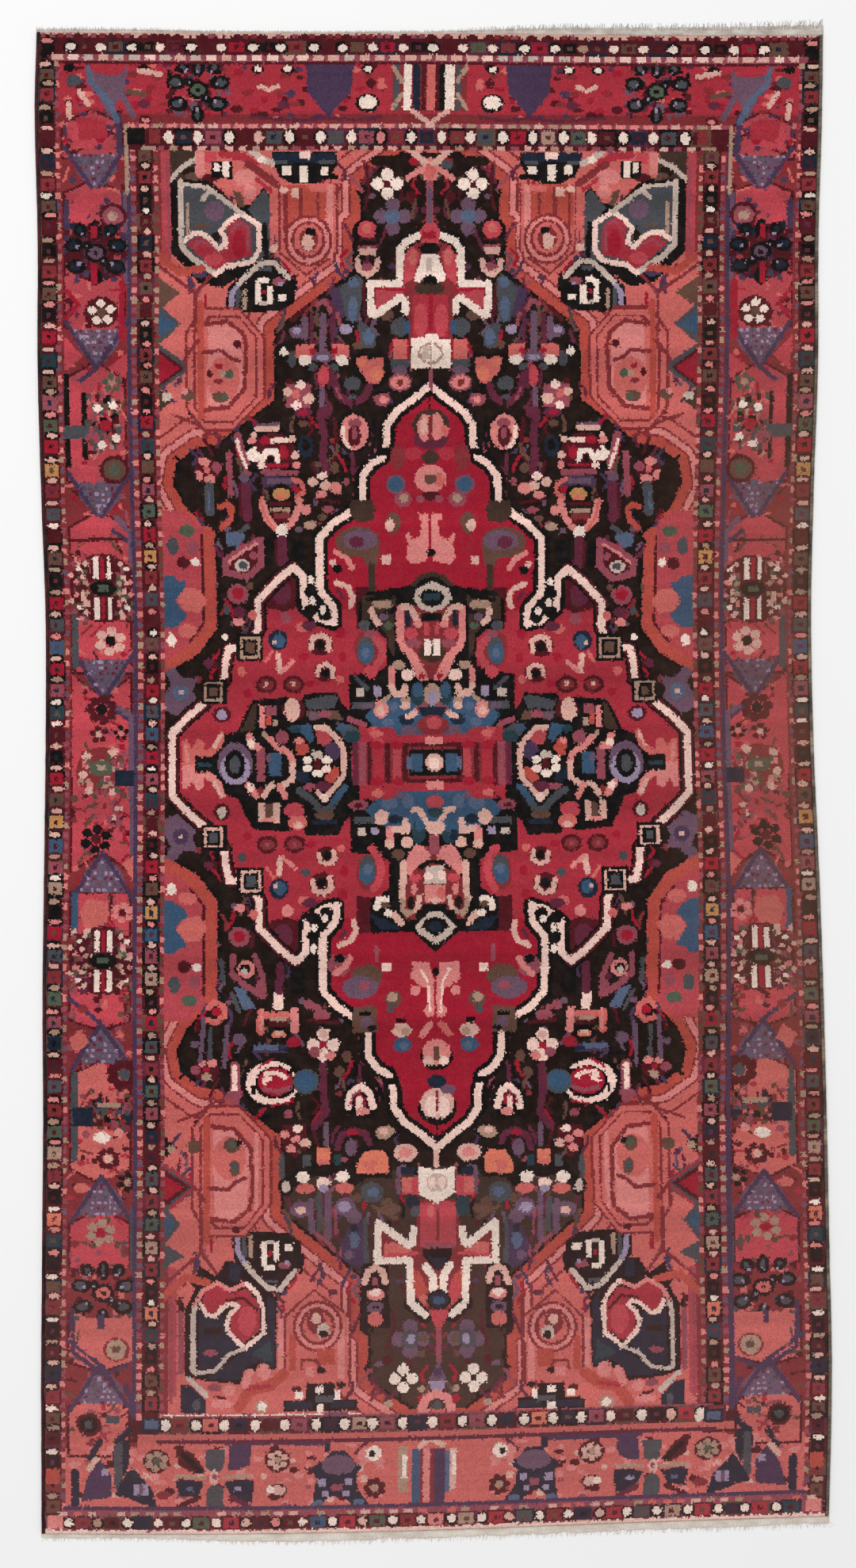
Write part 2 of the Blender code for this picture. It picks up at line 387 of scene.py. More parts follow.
def ringBud(x, y, reach, ring, heart, copies):
    # an open ring with a dark heart, gapped at one side
    oval(x, y, reach, reach * 0.9, "maroon", copies)
    bend = ((-0.75, -0.3), (-0.6, 0.5), (0.1, 0.7), (0.75, 0.3), (0.6, -0.5))
    stroke([(x + reach * dx, y + reach * dy) for dx, dy in bend], reach * 0.42, ring, copies)
    oval(x, y - reach * 0.1, reach * 0.4, reach * 0.4, heart, copies)


def star(x, y, reach, petals, petal, heart, copies):
    # round flower of small separate petals
    for turn in 2 * math.pi * np.arange(petals) / petals + 0.4:
        oval(x + reach * 0.72 * np.cos(turn), y + reach * 0.66 * np.sin(turn), reach * 0.34, reach * 0.3,
             petal, copies)
    oval(x, y, reach * 0.36, reach * 0.34, heart, copies)


def rosette(x, y, petal, edge, heart, copies):
    # eight-petalled rosette, about 13 by 12 cm, its petals broken by light knots
    for dx, dy, rx, ry in ((-4.4, 1.5, 2.0, 1.5), (4.4, 1.5, 2.0, 1.5), (-4.0, -2.8, 2.0, 1.5),
                           (4.0, -2.8, 2.0, 1.5), (0, 4.6, 1.3, 2.0), (0, -4.9, 1.3, 1.8),
                           (-3.1, 4.6, 1.4, 1.3), (3.1, 4.6, 1.4, 1.3), (-1.8, 1.6, 1.0, 0.9),
                           (1.8, -1.8, 1.0, 0.9)):
        oval(x + dx, y + dy, rx, ry, edge, copies)
        oval(x + dx * 1.04, y + dy, rx - 0.9, ry - 0.7, petal, copies)
        block(x + dx * 0.86, y + dy * 0.8, 0.6, 0.6, "lilac", copies)
    oval(x, y, 2.2, 1.9, edge, copies)
    oval(x, y, 1.5, 1.2, heart, copies)
    block(x, y, 0.9, 0.8, edge, copies)


def eyedRing(x, y, reach, ring, eye, copies):
    oval(x, y, reach + 0.7, reach + 0.6, "maroon", copies)
    oval(x, y, reach, reach * 0.92, ring, copies)
    oval(x, y, reach * 0.5, reach * 0.45, eye, copies)


def speckle(x, y, width, height, count, names, copies):
    # a cluster of single and double knots, where leaves and stalks run together
    for _ in range(int(count)):
        dx, dy = weaver.uniform(-0.5, 0.5, 2) * (width, height)
        size = weaver.uniform(0.6, 1.5, 2)
        block(x + dx, y + dy, *size, anyOf(names), copies)


def clawedBar(x, y, bar, copies):
    # white bars over and under a dark knot, with claws on both sides
    oval(x, y, 6.9, 7.0, "maroon", copies)
    tones = ("umber", "maroon", "brick", "rose", "pink", "wine", "blush", "green")
    speckle(x, y, 12.6, 13.0, 110, tones, copies)
    for end in (-1, 1):
        block(x, y + end * 4.0, 4.8, 4.8, "maroon", copies)
        block(x, y + end * 4.0, 0.9, 4.4, "crimson", copies)
        for side in (-1, 1):
            block(x + side * 1.3, y + end * 4.0, 1.1, 4.4, bar, copies)
            for dx, dy, name in ((3.6, 4.9, "blush"), (4.9, 3.9, "cream"), (4.2, 2.3, "blush"),
                                 (5.6, 1.3, "pink"), (3.4, 1.0, "tan"), (6.0, 4.8, "rose"),
                                 (6.6, 2.6, "blush")):
                oval(x + side * dx, y + end * dy, 0.6, 0.5, name, copies)
    oval(x, y, 2.8, 1.6, "black", copies)
    block(x, y, 2.4, 1.2, "green", copies)


def lattice(x, y, up, tail):
    # hatched wedge with the vine lines that run off its tip; tail is -1 outward, 1 inward, 0 for none
    tip = 1 if up else -1
    vine = [(x - 6.6, y - tip * 4.8), (x - 0.5, y + tip * 4.6), (x + 5.8, y - tip * 4.8)]
    wedge = ((-5.4, -3.4), (-4.2, 0.2), (-1.6, 3.6), (0.8, 3.6), (3.8, 0.2), (4.8, -3.4))
    patch([(x + dx, y + tip * dy) for dx, dy in wedge], "mauve", "pair")
    stroke(vine, 0.9, "purple", "pair")
    if tail:
        stroke([vine[1], (x - 0.5 + tail * 6.6, y + tip * 9.6)], 0.9, "purple", "pair")
    for k in range(6):
        level = y - tip * (3.0 - 1.15 * k)
        reach = 4.4 - 0.72 * k
        for dx in np.arange(-reach + 0.5 * (k % 2), reach, 1.15):
            name = anyOf(("lilac", "greyBlue", "lilac", "wine", "slate"))
            block(x - 0.3 + dx, level, 0.6, 0.6, name, "pair")


# small things strewn by chance

def strewBorder():
    # the small leaves, stalks and odd knots that fill a village border
    for low, high, tones in ((86, 134, ("maroon", "brick", "crimson", "purple", "coral", "wine")),
                             (-40, 86, ("maroon", "brick", "crimson", "umber", "rose", "coral")),
                             (-134, -40, ("brick", "rose", "coral", "maroon", "red", "umber"))):
        for _ in range(int((high - low) * 2.4)):
            x, y = weaver.uniform(-74.0, -61.6), weaver.uniform(low, high)
            name = anyOf(tones)
            if weaver.random() < 0.6:
                oval(x, y, weaver.uniform(0.4, 0.9), weaver.uniform(0.35, 0.75), name, "pair")
            else:
                turn = weaver.uniform(0, 3.1)
                run = (1.4 * np.cos(turn), 1.4 * np.sin(turn))
                stroke([(x - run[0], y - run[1]), (x + run[0], y + run[1])], 0.5, name, "pair")


def strewEnds():
    for y0, y1, tones in ((134.2, 145.2, ("maroon", "brick", "crimson", "wine", "coral", "purple")),
                          (-146, -134, ("pink", "rose", "pink", "blush", "maroon", "pink"))):
        for _ in range(120):
            x, y = weaver.uniform(-73, -9), weaver.uniform(y0, y1)
            name = anyOf(tones)
            oval(x, y, weaver.uniform(0.5, 1.2), weaver.uniform(0.35, 0.8), name, "pair")


def strewGround():
    # tendrils and odd knots of the dark ground
    tones = ("wine", "maroon", "rose", "wine", "mauve", "brick", "crimson", "purple", "black", "umber")
    for _ in range(400):
        x, y = weaver.uniform(-52, 0), weaver.uniform(14, 126)
        name = anyOf(tones)
        if weaver.random() < 0.35:
            oval(x, y, weaver.uniform(0.5, 1.0), weaver.uniform(0.5, 0.9), name)
        else:
            step = weaver.uniform(-1.6, 1.6, 4)
            stroke([(x, y), (x + step[0], y + 1.5), (x + step[0] + step[1], y + 3.1)], 0.65, name)


def strayKnots():
    # a hand-knotted line strays by a knot here and there
    rows, columns = np.nonzero(weaver.random(knots.shape) < 0.20)
    fromRows = np.clip(rows + weaver.integers(-1, 2, len(rows)), 0, knotRows - 1)
    fromColumns = np.clip(columns + weaver.integers(-1, 2, len(rows)), 0, knotColumns - 1)
    knots[rows, columns] = knots[fromRows, fromColumns]


# side border fields

borderBays = (  # top and bottom, wool, how deep the wedges cut in
    (136, 126, "softRed", 3, 0), (122, 99, "softRed", 3, 3), (103, 89, "softRed", 0.5, 3),
    (85, 58, "softRed", 3.5, 3), (55, 44, "softRed", 3.5, 0), (34, 22, "madder", 0, 0),
    (17.5, -14, "madder", -4, -4), (-22, -31, "madder", 0, 0), (-41, -50, "madder", 0, 2),
    (-56, -81, "coral", 3, 3), (-86, -99, "madder", 3, 1), (-107, -119, "coral", 0, 2),
    (-124, -136, "coral", 2, 0),
)


def bay(top, bottom, colour, notchTop, notchBottom):
    # a six-sided field of the side border between two wedges, with its dark outline
    outer, middle, inner = -73.9, -67.6, -61.6
    corners = [(outer, top - notchTop), (middle, top), (inner, top - notchTop),
               (inner, bottom + notchBottom), (middle, bottom), (outer, bottom + notchBottom)]
    patch(corners, colour, "pair")
    stroke(corners + corners[:1], 0.5, "maroon", "pair")


def drawSideBorder():
    patch([(-75, -134), *sideLine(-60, -134, 134), (-75, 134)], "brick", "pair")
    for row in borderBays:
        bay(*row)
    strewBorder()
    for y, up, tail in ((123.6, False, -1), (88.2, False, -1), (57.6, False, 1), (21.4, False, 1),
                        (-18.6, True, 0), (-53.2, True, -1), (-84.0, True, 0), (-122.0, True, -1)):
        lattice(-67.0, y, up, tail)


def drawEndBorders():
    for low, high, name in ((133, 146, "red"), (-147, -133, "coral")):
        patch([(-75, low), (75, low), (75, high), (-75, high)], name, "one")
    patch([(-75, 133), (75, 133), (75, 135), (-75, 135)], "brick", "one")


# figures, each with its shapes in the order they are laid; @ says which copies the shapes after it get
# a shape names its wool, or a flower's wools with commas; a slash between two wools gives the lower copy
# its own, and a dash leaves that copy out; then come places and sizes in centimetres, with commas between
# several lines or patches

figures = {
    "scroll": """
    @pair patch coral -31 121 -31 107 -24.8 101.5 -18.2 107 -18.2 121, -31 -121 -31 -107.4 -24.6 -101 -18
    -107.4 -18 -121 line brick 0.5 -30.2 121 -30.2 107.2 -24.8 102.6 -18.4 107.2 -18.4 121, 0.5 -30.4 -119
    -30.4 -108 -27.4 -105 -24.6 -102.6 -20.6 -105.6 -17.4 -108, 0.7 -17.4 -103 -17.3 -121 block terracotta
    -24.8 116.4 9.4 8.6 block pink -19.9 113.4 1.5 15 -31.3 -113.6 1 10.6 -19.1 -115 1.5 11 block brick
    -28.9 115.6 0.6 9 -25.8 117 0.7 6.4 -22.3 117 0.6 6.4 block blush -26.9 119.4 1.6 2 block coral -22.2
    120 3.4 1.4 oval brick -24.3 109.6 4.9 5.2 oval pink -24.3 109.6 4.3 4.6 oval brick -24.3 109.7 3.5 3.8
    oval coral -24.3 109.8 2.9 3.2 block terracotta -28.9 -115.2 1.4 7.4 oval brick -24.2 109.8 1.9 2.4
    -23.8 -109.9 5 5.2 oval pink -23.8 -109.9 4.4 4.6 oval brick -23.8 -109.9 3.6 3.8 oval coral -23.8 -110
    2.9 3.1 oval brick -24.1 -109 1.9 2.3 oval blush -24.4 109.2 1.2 1.7 -31.3 108 1 0.8 -29.2 119.8 0.9 0.7
    -24.1 -108.3 1 1.1 oval ash -22.7 -110.8 1.3 1.4 block terracotta -22.2 -116 3.4 3.4 line brick 0.6
    -27.2 -118.6 -27 -116.6 -24 -116.8 -23.4 -117.8 oval black -23.8 111.4 1 0.8 -22.7 -111.4 0.9 0.8 -23.2
    -118.8 0.9 0.7 block pink -25.4 -119 1.8 1.8""",
    "comb": """
    @pair patch black -31.5 127.6 -31.5 125.6 -30 122.4 -27 121 -23 121 -20.2 122 -18.3 125 -18.3 127.6,
    -30.6 -127 -30.6 -124.8 -26.2 -124.6 -26.2 -121.4 -20.4 -121.4 -20.4 -124.6 -16 -124.8 -16 -127 block
    navy -25 126.4 12.4 2 -27.4 -125.9 5.4 1.5 -18.8 -125.8 4.8 1.5 block slate -29.8 125.4 2.6 0.8 -20.6
    125.4 3 0.8 -22.4 -124.6 3.6 1.3 block shell -24.9 126.9 2.3 1.4 block cream -28.6 123.8 1.7 1.9 -25
    123.1 1.7 3.4 -21 123.7 1.7 1.7 -27.6 -123.7 1.6 1.4 -23.4 -122.7 1.5 1.5 -19.8 -123.8 1.2 1.9 -23.3
    -126.4 1.6 1.6 block mauve -20 -127.7 4.6 0.8""",
    "boteh": """
    @pair patch black -52.2 122.4 -52.2 107 -46.5 101 -42 100 -36.5 103.6 -32.4 105 -32.2 119 -33.4 120.4
    -36.4 117 -39 116.8 -43.8 121.4 -48 124.4, -50.6 -119.6 -50.4 -106 -48.8 -102.8 -47.6 -97.4 -44.4 -99.6
    -42.4 -96.6 -39 -96.4 -38 -99.6 -33.6 -101.6 -32 -104.6 -32.2 -118.4 -34.2 -118.4 -35.4 -117 -36.4
    -118.8 -38.6 -118.6 -39.2 -121.4 -46 -120.8 patch slate -35.6 104.8 -32.2 105.2 -32.2 118.4 -33.4 119.8
    -36.6 115.8 -34.6 113.4 line black 1.2 -33.2 112.6 -33 106.4 patch slate -50 121 -50 109 -43.4 103 -34.6
    106 -34.4 112.8 -38 115 -44 120.2 patch brown -44.6 110 -42.6 108.4 -42 111.6 -42.8 112 oval mauve -43.4
    115.6 2 2 block umber -46 112.6 3 0.8 patch red -49 108.8 -47.2 110.4 -45 110 -42.6 107.4 -41 108 -40.6
    111 -41.4 112.4 -38.6 114 -36 112.6 -35.8 106.6 -40.4 105.4 -43.4 103.6 oval madder -43.6 105.8 2 1.2
    oval crimson -38.4 108.8 1.4 2.8 line rose 0.5 -48 108 -46.4 109.6 -43.8 108.4 -42.4 107.2, 0.5 -40
    111.4 -38.4 113.2 -36.6 112.2 -36.6 107.6 line shell 1 -49.4 109.6 -47.8 111 -46 111 -44.4 110 -42.6 108
    -41.3 108.8 -41.4 110.4 -42.2 111.6 -40.4 113.6 -38.2 115 line ash 1.2 -50.2 121.6 -50.2 108.6 -48.4
    106.4 -43.2 102.8 line shell 1.1 -43.2 102.8 -40.8 104.6 -38.4 104.8 -35.8 105.4 -34.4 107.4 -34.4 112.8
    -38 115.2 line tan 0.7 -48.8 117 -48.8 111 patch earth -53.8 127.8 -46.8 127.8 -46.4 123.6 -49 122 -53.4
    122 oval brown -48.6 123.6 1.6 1 line ash 1 -38 115.2 -44 119.9 -45.6 118.1, 0.8 -49.6 121 -44.4 120.4,
    1 -52.2 122 -49.8 124.4 -47.4 125.8 oval umber -47.2 122.6 2 0.8 oval purple -46.4 102.9 1.6 0.9 patch
    navy -33.9 -103 -32.4 -105 -32.4 -118 -34.2 -118 -35.6 -116.6 -38 -118 -39.6 -120.6 -46.4 -120.2 -39
    -115 -34 -111.4, -47.6 -107 -43 -107.4 -42 -111 -39.6 -113.4 -44.6 -118 -47.8 -118.4 patch teal -37.4
    -115.4 -33.4 -112.6 -32.8 -117 -34.8 -116.4 block brown -45 -110.6 3.4 1.6 oval rose -45.3 -115 1.4 0.7
    patch red -47 -104.6 -46 -106.8 -44.6 -107 -42.2 -105 -40 -105 -41.4 -107.8 -41.4 -110.6 -38.6 -113
    -35.4 -110.6 -35.4 -105.6 -38 -102 -41 -103 -44 -101.4 -46.6 -102.8 oval madder -38 -108.6 1.8 3 line
    maroon 0.6 -42 -104.4 -38.6 -104 -36 -106.4 line shell 0.9 -47.2 -105.2 -46.2 -107.3 -44.6 -107.6 -42.6
    -105.7 -40.8 -105 -39.8 -105.8 -41.4 -107.2 -42.2 -109.2 -41.6 -111 -38.6 -114 line ash 1 -48.4 -105
    -48.9 -108 -48.8 -118.6 line pink 0.9 -48.4 -105 -46.8 -102.4 -44 -100.9 -41.4 -102.4 -38.2 -101 line
    shell 0.9 -38.2 -101 -35.8 -103.4 -34.8 -106 -34.8 -111.2 -38.6 -114.2 line ash 0.8 -38.6 -114.2 -41.6
    -115.4 -44.4 -118.6 -48.4 -119.2, 1.1 -49.8 -120.2 -46.2 -123.6 block navy -40.5 -98.6 2.2 3.6 patch
    navy -51.4 -121.4 -49.4 -121.6 -46.4 -124.6 -46.2 -127.2 -51.4 -127.2 oval slate -48.2 -125.6 0.8 1.2""",
    "cornerFlowers": """
    @pair patch coral -47.2 127.4 -46.8 122.4 -44 121.6 -40.4 119 -38.2 117.6 -36 116.8 -33.6 120 -31.4 122
    -31.6 127.4, -55 127.4 -52.2 127.4 -52.2 106.4 -55 104, -46 -121 -39.4 -121.4 -38.6 -118.8 -36.4 -119
    -35.4 -117.2 -33.6 -118.2 -31.4 -119 -30.6 -127.4 -45.6 -127.4 block pink -46.2 125.2 1.8 4.6 block
    madder -43.9 126.4 2.6 2.2 oval maroon -44 122.3 1.8 0.8 block black -42.4 123.9 2.6 3.4 -40.2 123.8 1.2
    3.6 block cream -42.7 124.5 1.3 1.8 -40.9 124 1.3 3.2 line red 1.6 -41.6 127 -37.6 126.6 -35.2 125.2
    line brick 1.6 -36.4 125 -34 123.4 -30.8 121 line ash 1.3 -36 128.2 -33.8 126.2 -31.6 125.2 oval pink
    -37 122.4 2.4 1.6 -36.2 119.4 1.3 1.5 patch umber -39.6 119.8 -38 119.4 -37.2 116.6 -38.4 116.2 line
    terracotta 2.2 -39.6 -126 -37.4 -122.6 -33.4 -121.8 -30.6 -119.4 line red 0.8 -34.8 122 -31.8 119.6, 0.8
    -38.2 -122.4 -33.6 -121.8 line pink 1.6 -38.4 -121.6 -37.4 -119 oval rose -44.5 -122 1.3 0.9 oval pink
    -34.6 -118.9 1.4 1.6 -41.6 -122.6 1.3 1.1 line maroon 0.6 -44.6 -123.8 -42.4 -124.4, 0.6 -51.6 -104
    -51.4 -118 oval pink -43 -125.4 2.2 0.9 oval tan -35 -126 1.5 1.3 oval cream -33.6 125.9 0.9 0.7 -35
    -125.9 0.9 0.9 patch coral -55 -104 -51.8 -106.4 -51.8 -127.4 -55 -127.4 line rose 1 -51.4 -107 -51.4
    -119""",
    "palmette": """
    @all patch black -41 95.4 -40.8 100 -37.8 103 -34.6 105.4 -31.2 106.2 -28.4 103.4 -27 101 -27.2 97 -30
    95.4 -36 95 line lilac 1.1 -40 95.8 -39.8 98.8 -38.4 101 line ash 1.1 -38.4 101 -35.6 103.6 -33.8 105
    -31.4 105.3 -29.4 103.2 -28.4 102.2 line slate 0.9 -38.6 96.2 -38.5 99.4 line tan 0.8 -37.2 96 -37.2
    99.4 block slate -33 103.9 2.6 0.8 block cream -34.7 99.2 1.2 4.8 -32 98.6 1.2 3.8 -33.5 101.6 2 1 -29.5
    98 1.7 1.3 block crimson -33.4 99.2 1 1 block ash -33.4 97 1.6 0.8 oval rose -30.4 101.2 1.3 0.8 block
    lilac -30 100.8 0.9 0.7""",
    "sideTriangles": """
    @pair block softRed -53.6 116.4 2.6 23.4 line brick 0.7 -54.5 127.6 -54.5 105.6, 1.1 -54.3 -96 -54.3
    -127 block softRed -53 -111 1.6 26 line rose 0.6 -52.8 126 -52.8 108, 0.6 -53.4 -99 -53.4 -125 patch
    umber -55 102.6 -54 101.5 -50.4 99 -54 96.1 -55 96.1 patch slate -55 97 -50.2 92.7 -55 88.2, -55 88.8
    -48 84 -55 79, -55 -99 -53.4 -97 -50.6 -95.6 -53.4 -93.8 -55 -93, -55 -93.6 -51.4 -89 -55 -85 patch blue
    -55 95.2 -51 92.6 -55 90.2, -55 -92 -52.6 -89 -55 -86.6 patch maroon -55 87.8 -49.6 83.8 -55 79.6 patch
    earth -55 79.6 -52 77.3 -55 74.6 oval ash -53.2 78 1.1 0.9 patch slate -55 -87 -47 -81.5 -55 -76.6 patch
    maroon -55 -85.6 -49.4 -81.5 -55 -78 patch crimson -55 87 -50.4 83.8 -55 80.4, -55 -84.6 -50.8 -81.5 -55
    -79 line red 0.6 -54.4 -77.4 -48.4 -81.4 -53.6 -85.8 patch black -55 -75.8 -52 -73.6 -55 -71.4 oval tan
    -53.4 -73.8 0.9 0.8""",
    "lobedFrame": """
    @all patch brick -46.2 96.2 -38.4 96.2 -32.9 90 -32.9 78 -39.6 71.1 -45.5 71.1 -49.3 75.6 -49.3 91 patch
    coral -45.6 95.6 -38.4 95.6 -33.5 90 -33.5 78 -39.6 71.7 -45.5 71.7 -48.7 75.6 -48.7 91 patch brick
    -44.5 94.5 -38.4 94.5 -34.6 90 -34.6 78 -39.6 72.8 -45.5 72.8 -47.6 75.6 -47.6 91 patch coral -44 94
    -38.4 94 -35.1 90 -35.1 78 -39.6 73.3 -45.5 73.3 -47.1 75.6 -47.1 91 patch pink -44.6 92.4 -40.8 93 -38
    90.6 -37.4 79.8 -40.6 76.2 -45 76 oval coral -41.6 81.6 3.4 4.4 line brick 0.9 -47.4 91.4 -45.6 92.6
    -40.8 93.3 -37.6 91 -36.9 88 -37.3 79.8 -40.6 76 -45.4 75.4 line terracotta 1.3 -46.2 97 -46.2 74, 1.6
    -46 104 -50.5 103.2 -55 106.6 line brick 0.8 -48.8 86.8 -46.6 89.4, 0.8 -45.8 87 -42 87.4 -40.4 86 -38.4
    85.2, 0.6 -52 74.4 -47.2 72.6 -45 70.8 -42 70, 0.7 -44.2 102.4 -47.3 99 -47.3 92, 0.7 -55 104.6 -47.4 99
    @pair oval green -40.4 82.6 0.9 1 oval crimson -42.5 84.2 0.8 0.6 oval maroon -44.4 82.8 0.6 0.8 -38.8
    88.7 0.9 0.8 -40.2 -90.2 0.8 0.7 oval brick -42.6 81.2 0.9 0.6 oval tan -41.8 82.7 0.7 0.7 oval umber
    -42.2 78 1.6 1.2 -48.8 78.4 1.4 1.2 -41.2 -73.2 1.5 1.5 -40.6 -77.8 1.1 1.6 -48.8 -73.4 1.3 1.4 oval
    pink -49.4 79 0.7 0.6 oval black -39.8 -72.6 0.7 0.6 oval green -41.4 78 0.7 0.7 -41 -73 0.8 0.7 oval
    slate -40.6 -77.6 0.6 0.8 line pink 0.9 -36.2 -71 -36.2 -86""",
    "sideHalfMotif": """
    @all patch softRed -55 55 -50 55 -46 51.6 -44.2 50.4 -44.2 32 -48 26.6 -55 22.6 line terracotta 1.8
    -45.3 51 -45.3 31.6 -49 27.2 -55 23.6 line maroon 0.5 -46.5 50 -46.5 32.4 -49.6 28.6 patch blue -55 42
    -52.6 42 -51.6 40.9 -50 40.8 -50.4 39 -52.2 36.6 -51 34.9 -49.8 34.4 -50.6 32.8 -52.8 31.4 -55 31.4
    patch coral -52.2 37 -50.4 39.6 -47.2 39.2 -45.8 36.6 -47.6 34.4 -50.6 34.8 oval slate -52.6 48 1.2 1.8
    oval green -49.6 51 1.6 1.2 oval cream -48 44.7 0.9 0.8 -53.3 28.9 1 1.2 oval maroon -50.6 44.6 1.4 1.2
    oval coral -50 30.8 2 1.3 oval rose -48.6 47.6 1.2 1.4""",
    "topOfGround": """
    @pair four cream,maroon -8.2 121 3.1 four mauve,lilac -7.2 114.4 3.8 oval greyBlue -7.2 114.4 1.6 1.4
    line maroon 0.7 -12.4 124.6 -12 119.4 -12.8 116 oval maroon -3.4 118.4 1.1 1.2 line wine 0.6 -10.6 107.6
    -9 110.4 -8.6 112 line umber 0.6 -3.4 114 -2.4 117.8 line brown 2 -10.6 125.6 -6 125.8 bud
    madder,coral,black -12.4 111.7 3.8 3.8 block maroon -12.3 109.8 3.2 0.6 block black -12.3 109.2 2 0.9
    block blush -12.3 107.4 3.4 1.6 block rose -12.3 108.3 3.6 0.6 line blush 1.2 -14.3 105.4 -14 103.8
    -12.3 102.5 -10.5 103.8 -10.2 105.4 oval rose -12.3 104.2 1.2 0.8 @one line rose 1.4 0.5 122 0.5 113,
    1.2 0.5 -109.6 0.5 -117.4 line mauve 0.8 0.5 120 0.5 113 patch pink -1.4 125.6 0.5 126.4 2.4 125.6 1.8
    121.6 -0.8 121.6 line blush 1.3 -4.2 128.4 -1.8 126.4 0.5 124.4 2.8 126.4 5.2 128.4 line pink 1.2 -4
    122.2 -1.6 123.8 0.5 124.4 2.6 123.8 5 122.2 oval coral 0.5 123.4 1.1 1.6 patch mauve 0.4 -117 -1.6
    -121.6 2.2 -121.6 block purple 0.3 -119.8 1.8 1.6 patch lilac -1.8 -121.4 2.2 -121.4 1.4 -123.4 -0.8
    -123.4 line pink 1.7 -3 -127 -1.8 -124.8 0.3 -123.9 2.2 -124.8 3.2 -127 oval slate 3.9 124.9 1.1 0.9 0.3
    -126.4 0.9 1 @pair four cream,brown -6.6 -120.8 2.9 four mauve,lilac -5.2 -112.8 3.9 oval slate -5.2
    -112.8 1.8 1.9 oval lilac -5 -112.8 0.8 1.1 oval tan -2.9 -122.9 0.8 0.7 -9.6 -125.8 0.9 0.8 line maroon
    0.6 -8.6 -107 -8.4 -110.4 -10 -115 oval umber -2.6 -112.8 0.8 0.9 -3 -115.8 0.8 0.7 oval maroon -9.8
    -117 0.9 1 patch black -15 -97.4 -9.6 -97.4 -9.2 -110.6 -14.6 -110.6 line blush 1.3 -14.3 -101.2 -13.6
    -99 -12.3 -98.1 -10.6 -99 -10.2 -101.2 block rose -12.2 -101 1.2 1.8 oval pink -12.2 -103.6 1.8 1.2 oval
    shell -12.2 -103.3 1.2 0.8 oval mauve -12.2 -106.3 1.7 1.2 block black -12.2 -106.3 1.4 0.7 oval coral
    -12.2 -108.6 1.6 1.5""",
    "slateWings": """
    @pair patch purple -19.8 99.4 -17.8 100.4 -15.6 95 -17.4 93.8 -19.6 97.4, -19.2 -93.4 -17.6 -90 -15
    -88.8 -13.6 -92 -13.8 -97.2 -15.6 -98.2 -18.6 -96.6 patch slate -18 100 -14.4 102.8 -13.2 101.4 -13.6
    95.4 -14.4 93 -16.4 93.4 oval greyBlue -15.2 95.6 1 2.6 -15 101 1.2 1 line wine 0.7 -20.4 97.6 -18 94.4
    patch slate -14.4 92.6 -12.6 92.8 -10.4 90.6 -10.8 87.8 -13.4 87.8 oval greyBlue -12 90 1.1 1.7 oval
    umber -14.2 88.4 1.1 0.8 -8.4 94.4 1.6 1 -9 -86.4 2 1.2 line rose 1 -22.6 96.6 -21 97.4 -19.8 95.4, 0.9
    -24 -91.4 -22 -92.6 -20.4 -94.6 line maroon 0.8 -27.6 93.4 -24.6 96.2 line slate 0.9 -14.2 -88.6 -13.9
    -97 oval greyBlue -16.4 -92.6 1 1.8 oval navy -16.3 -90.2 0.7 0.9 oval mauve -17.4 -95.6 1 1 -16.4 -87.8
    1.6 1.4 line wine 0.7 -20.8 -90.4 -19.4 -92.4 line umber 0.8 -12.6 -85.8 -8 -88.4""",
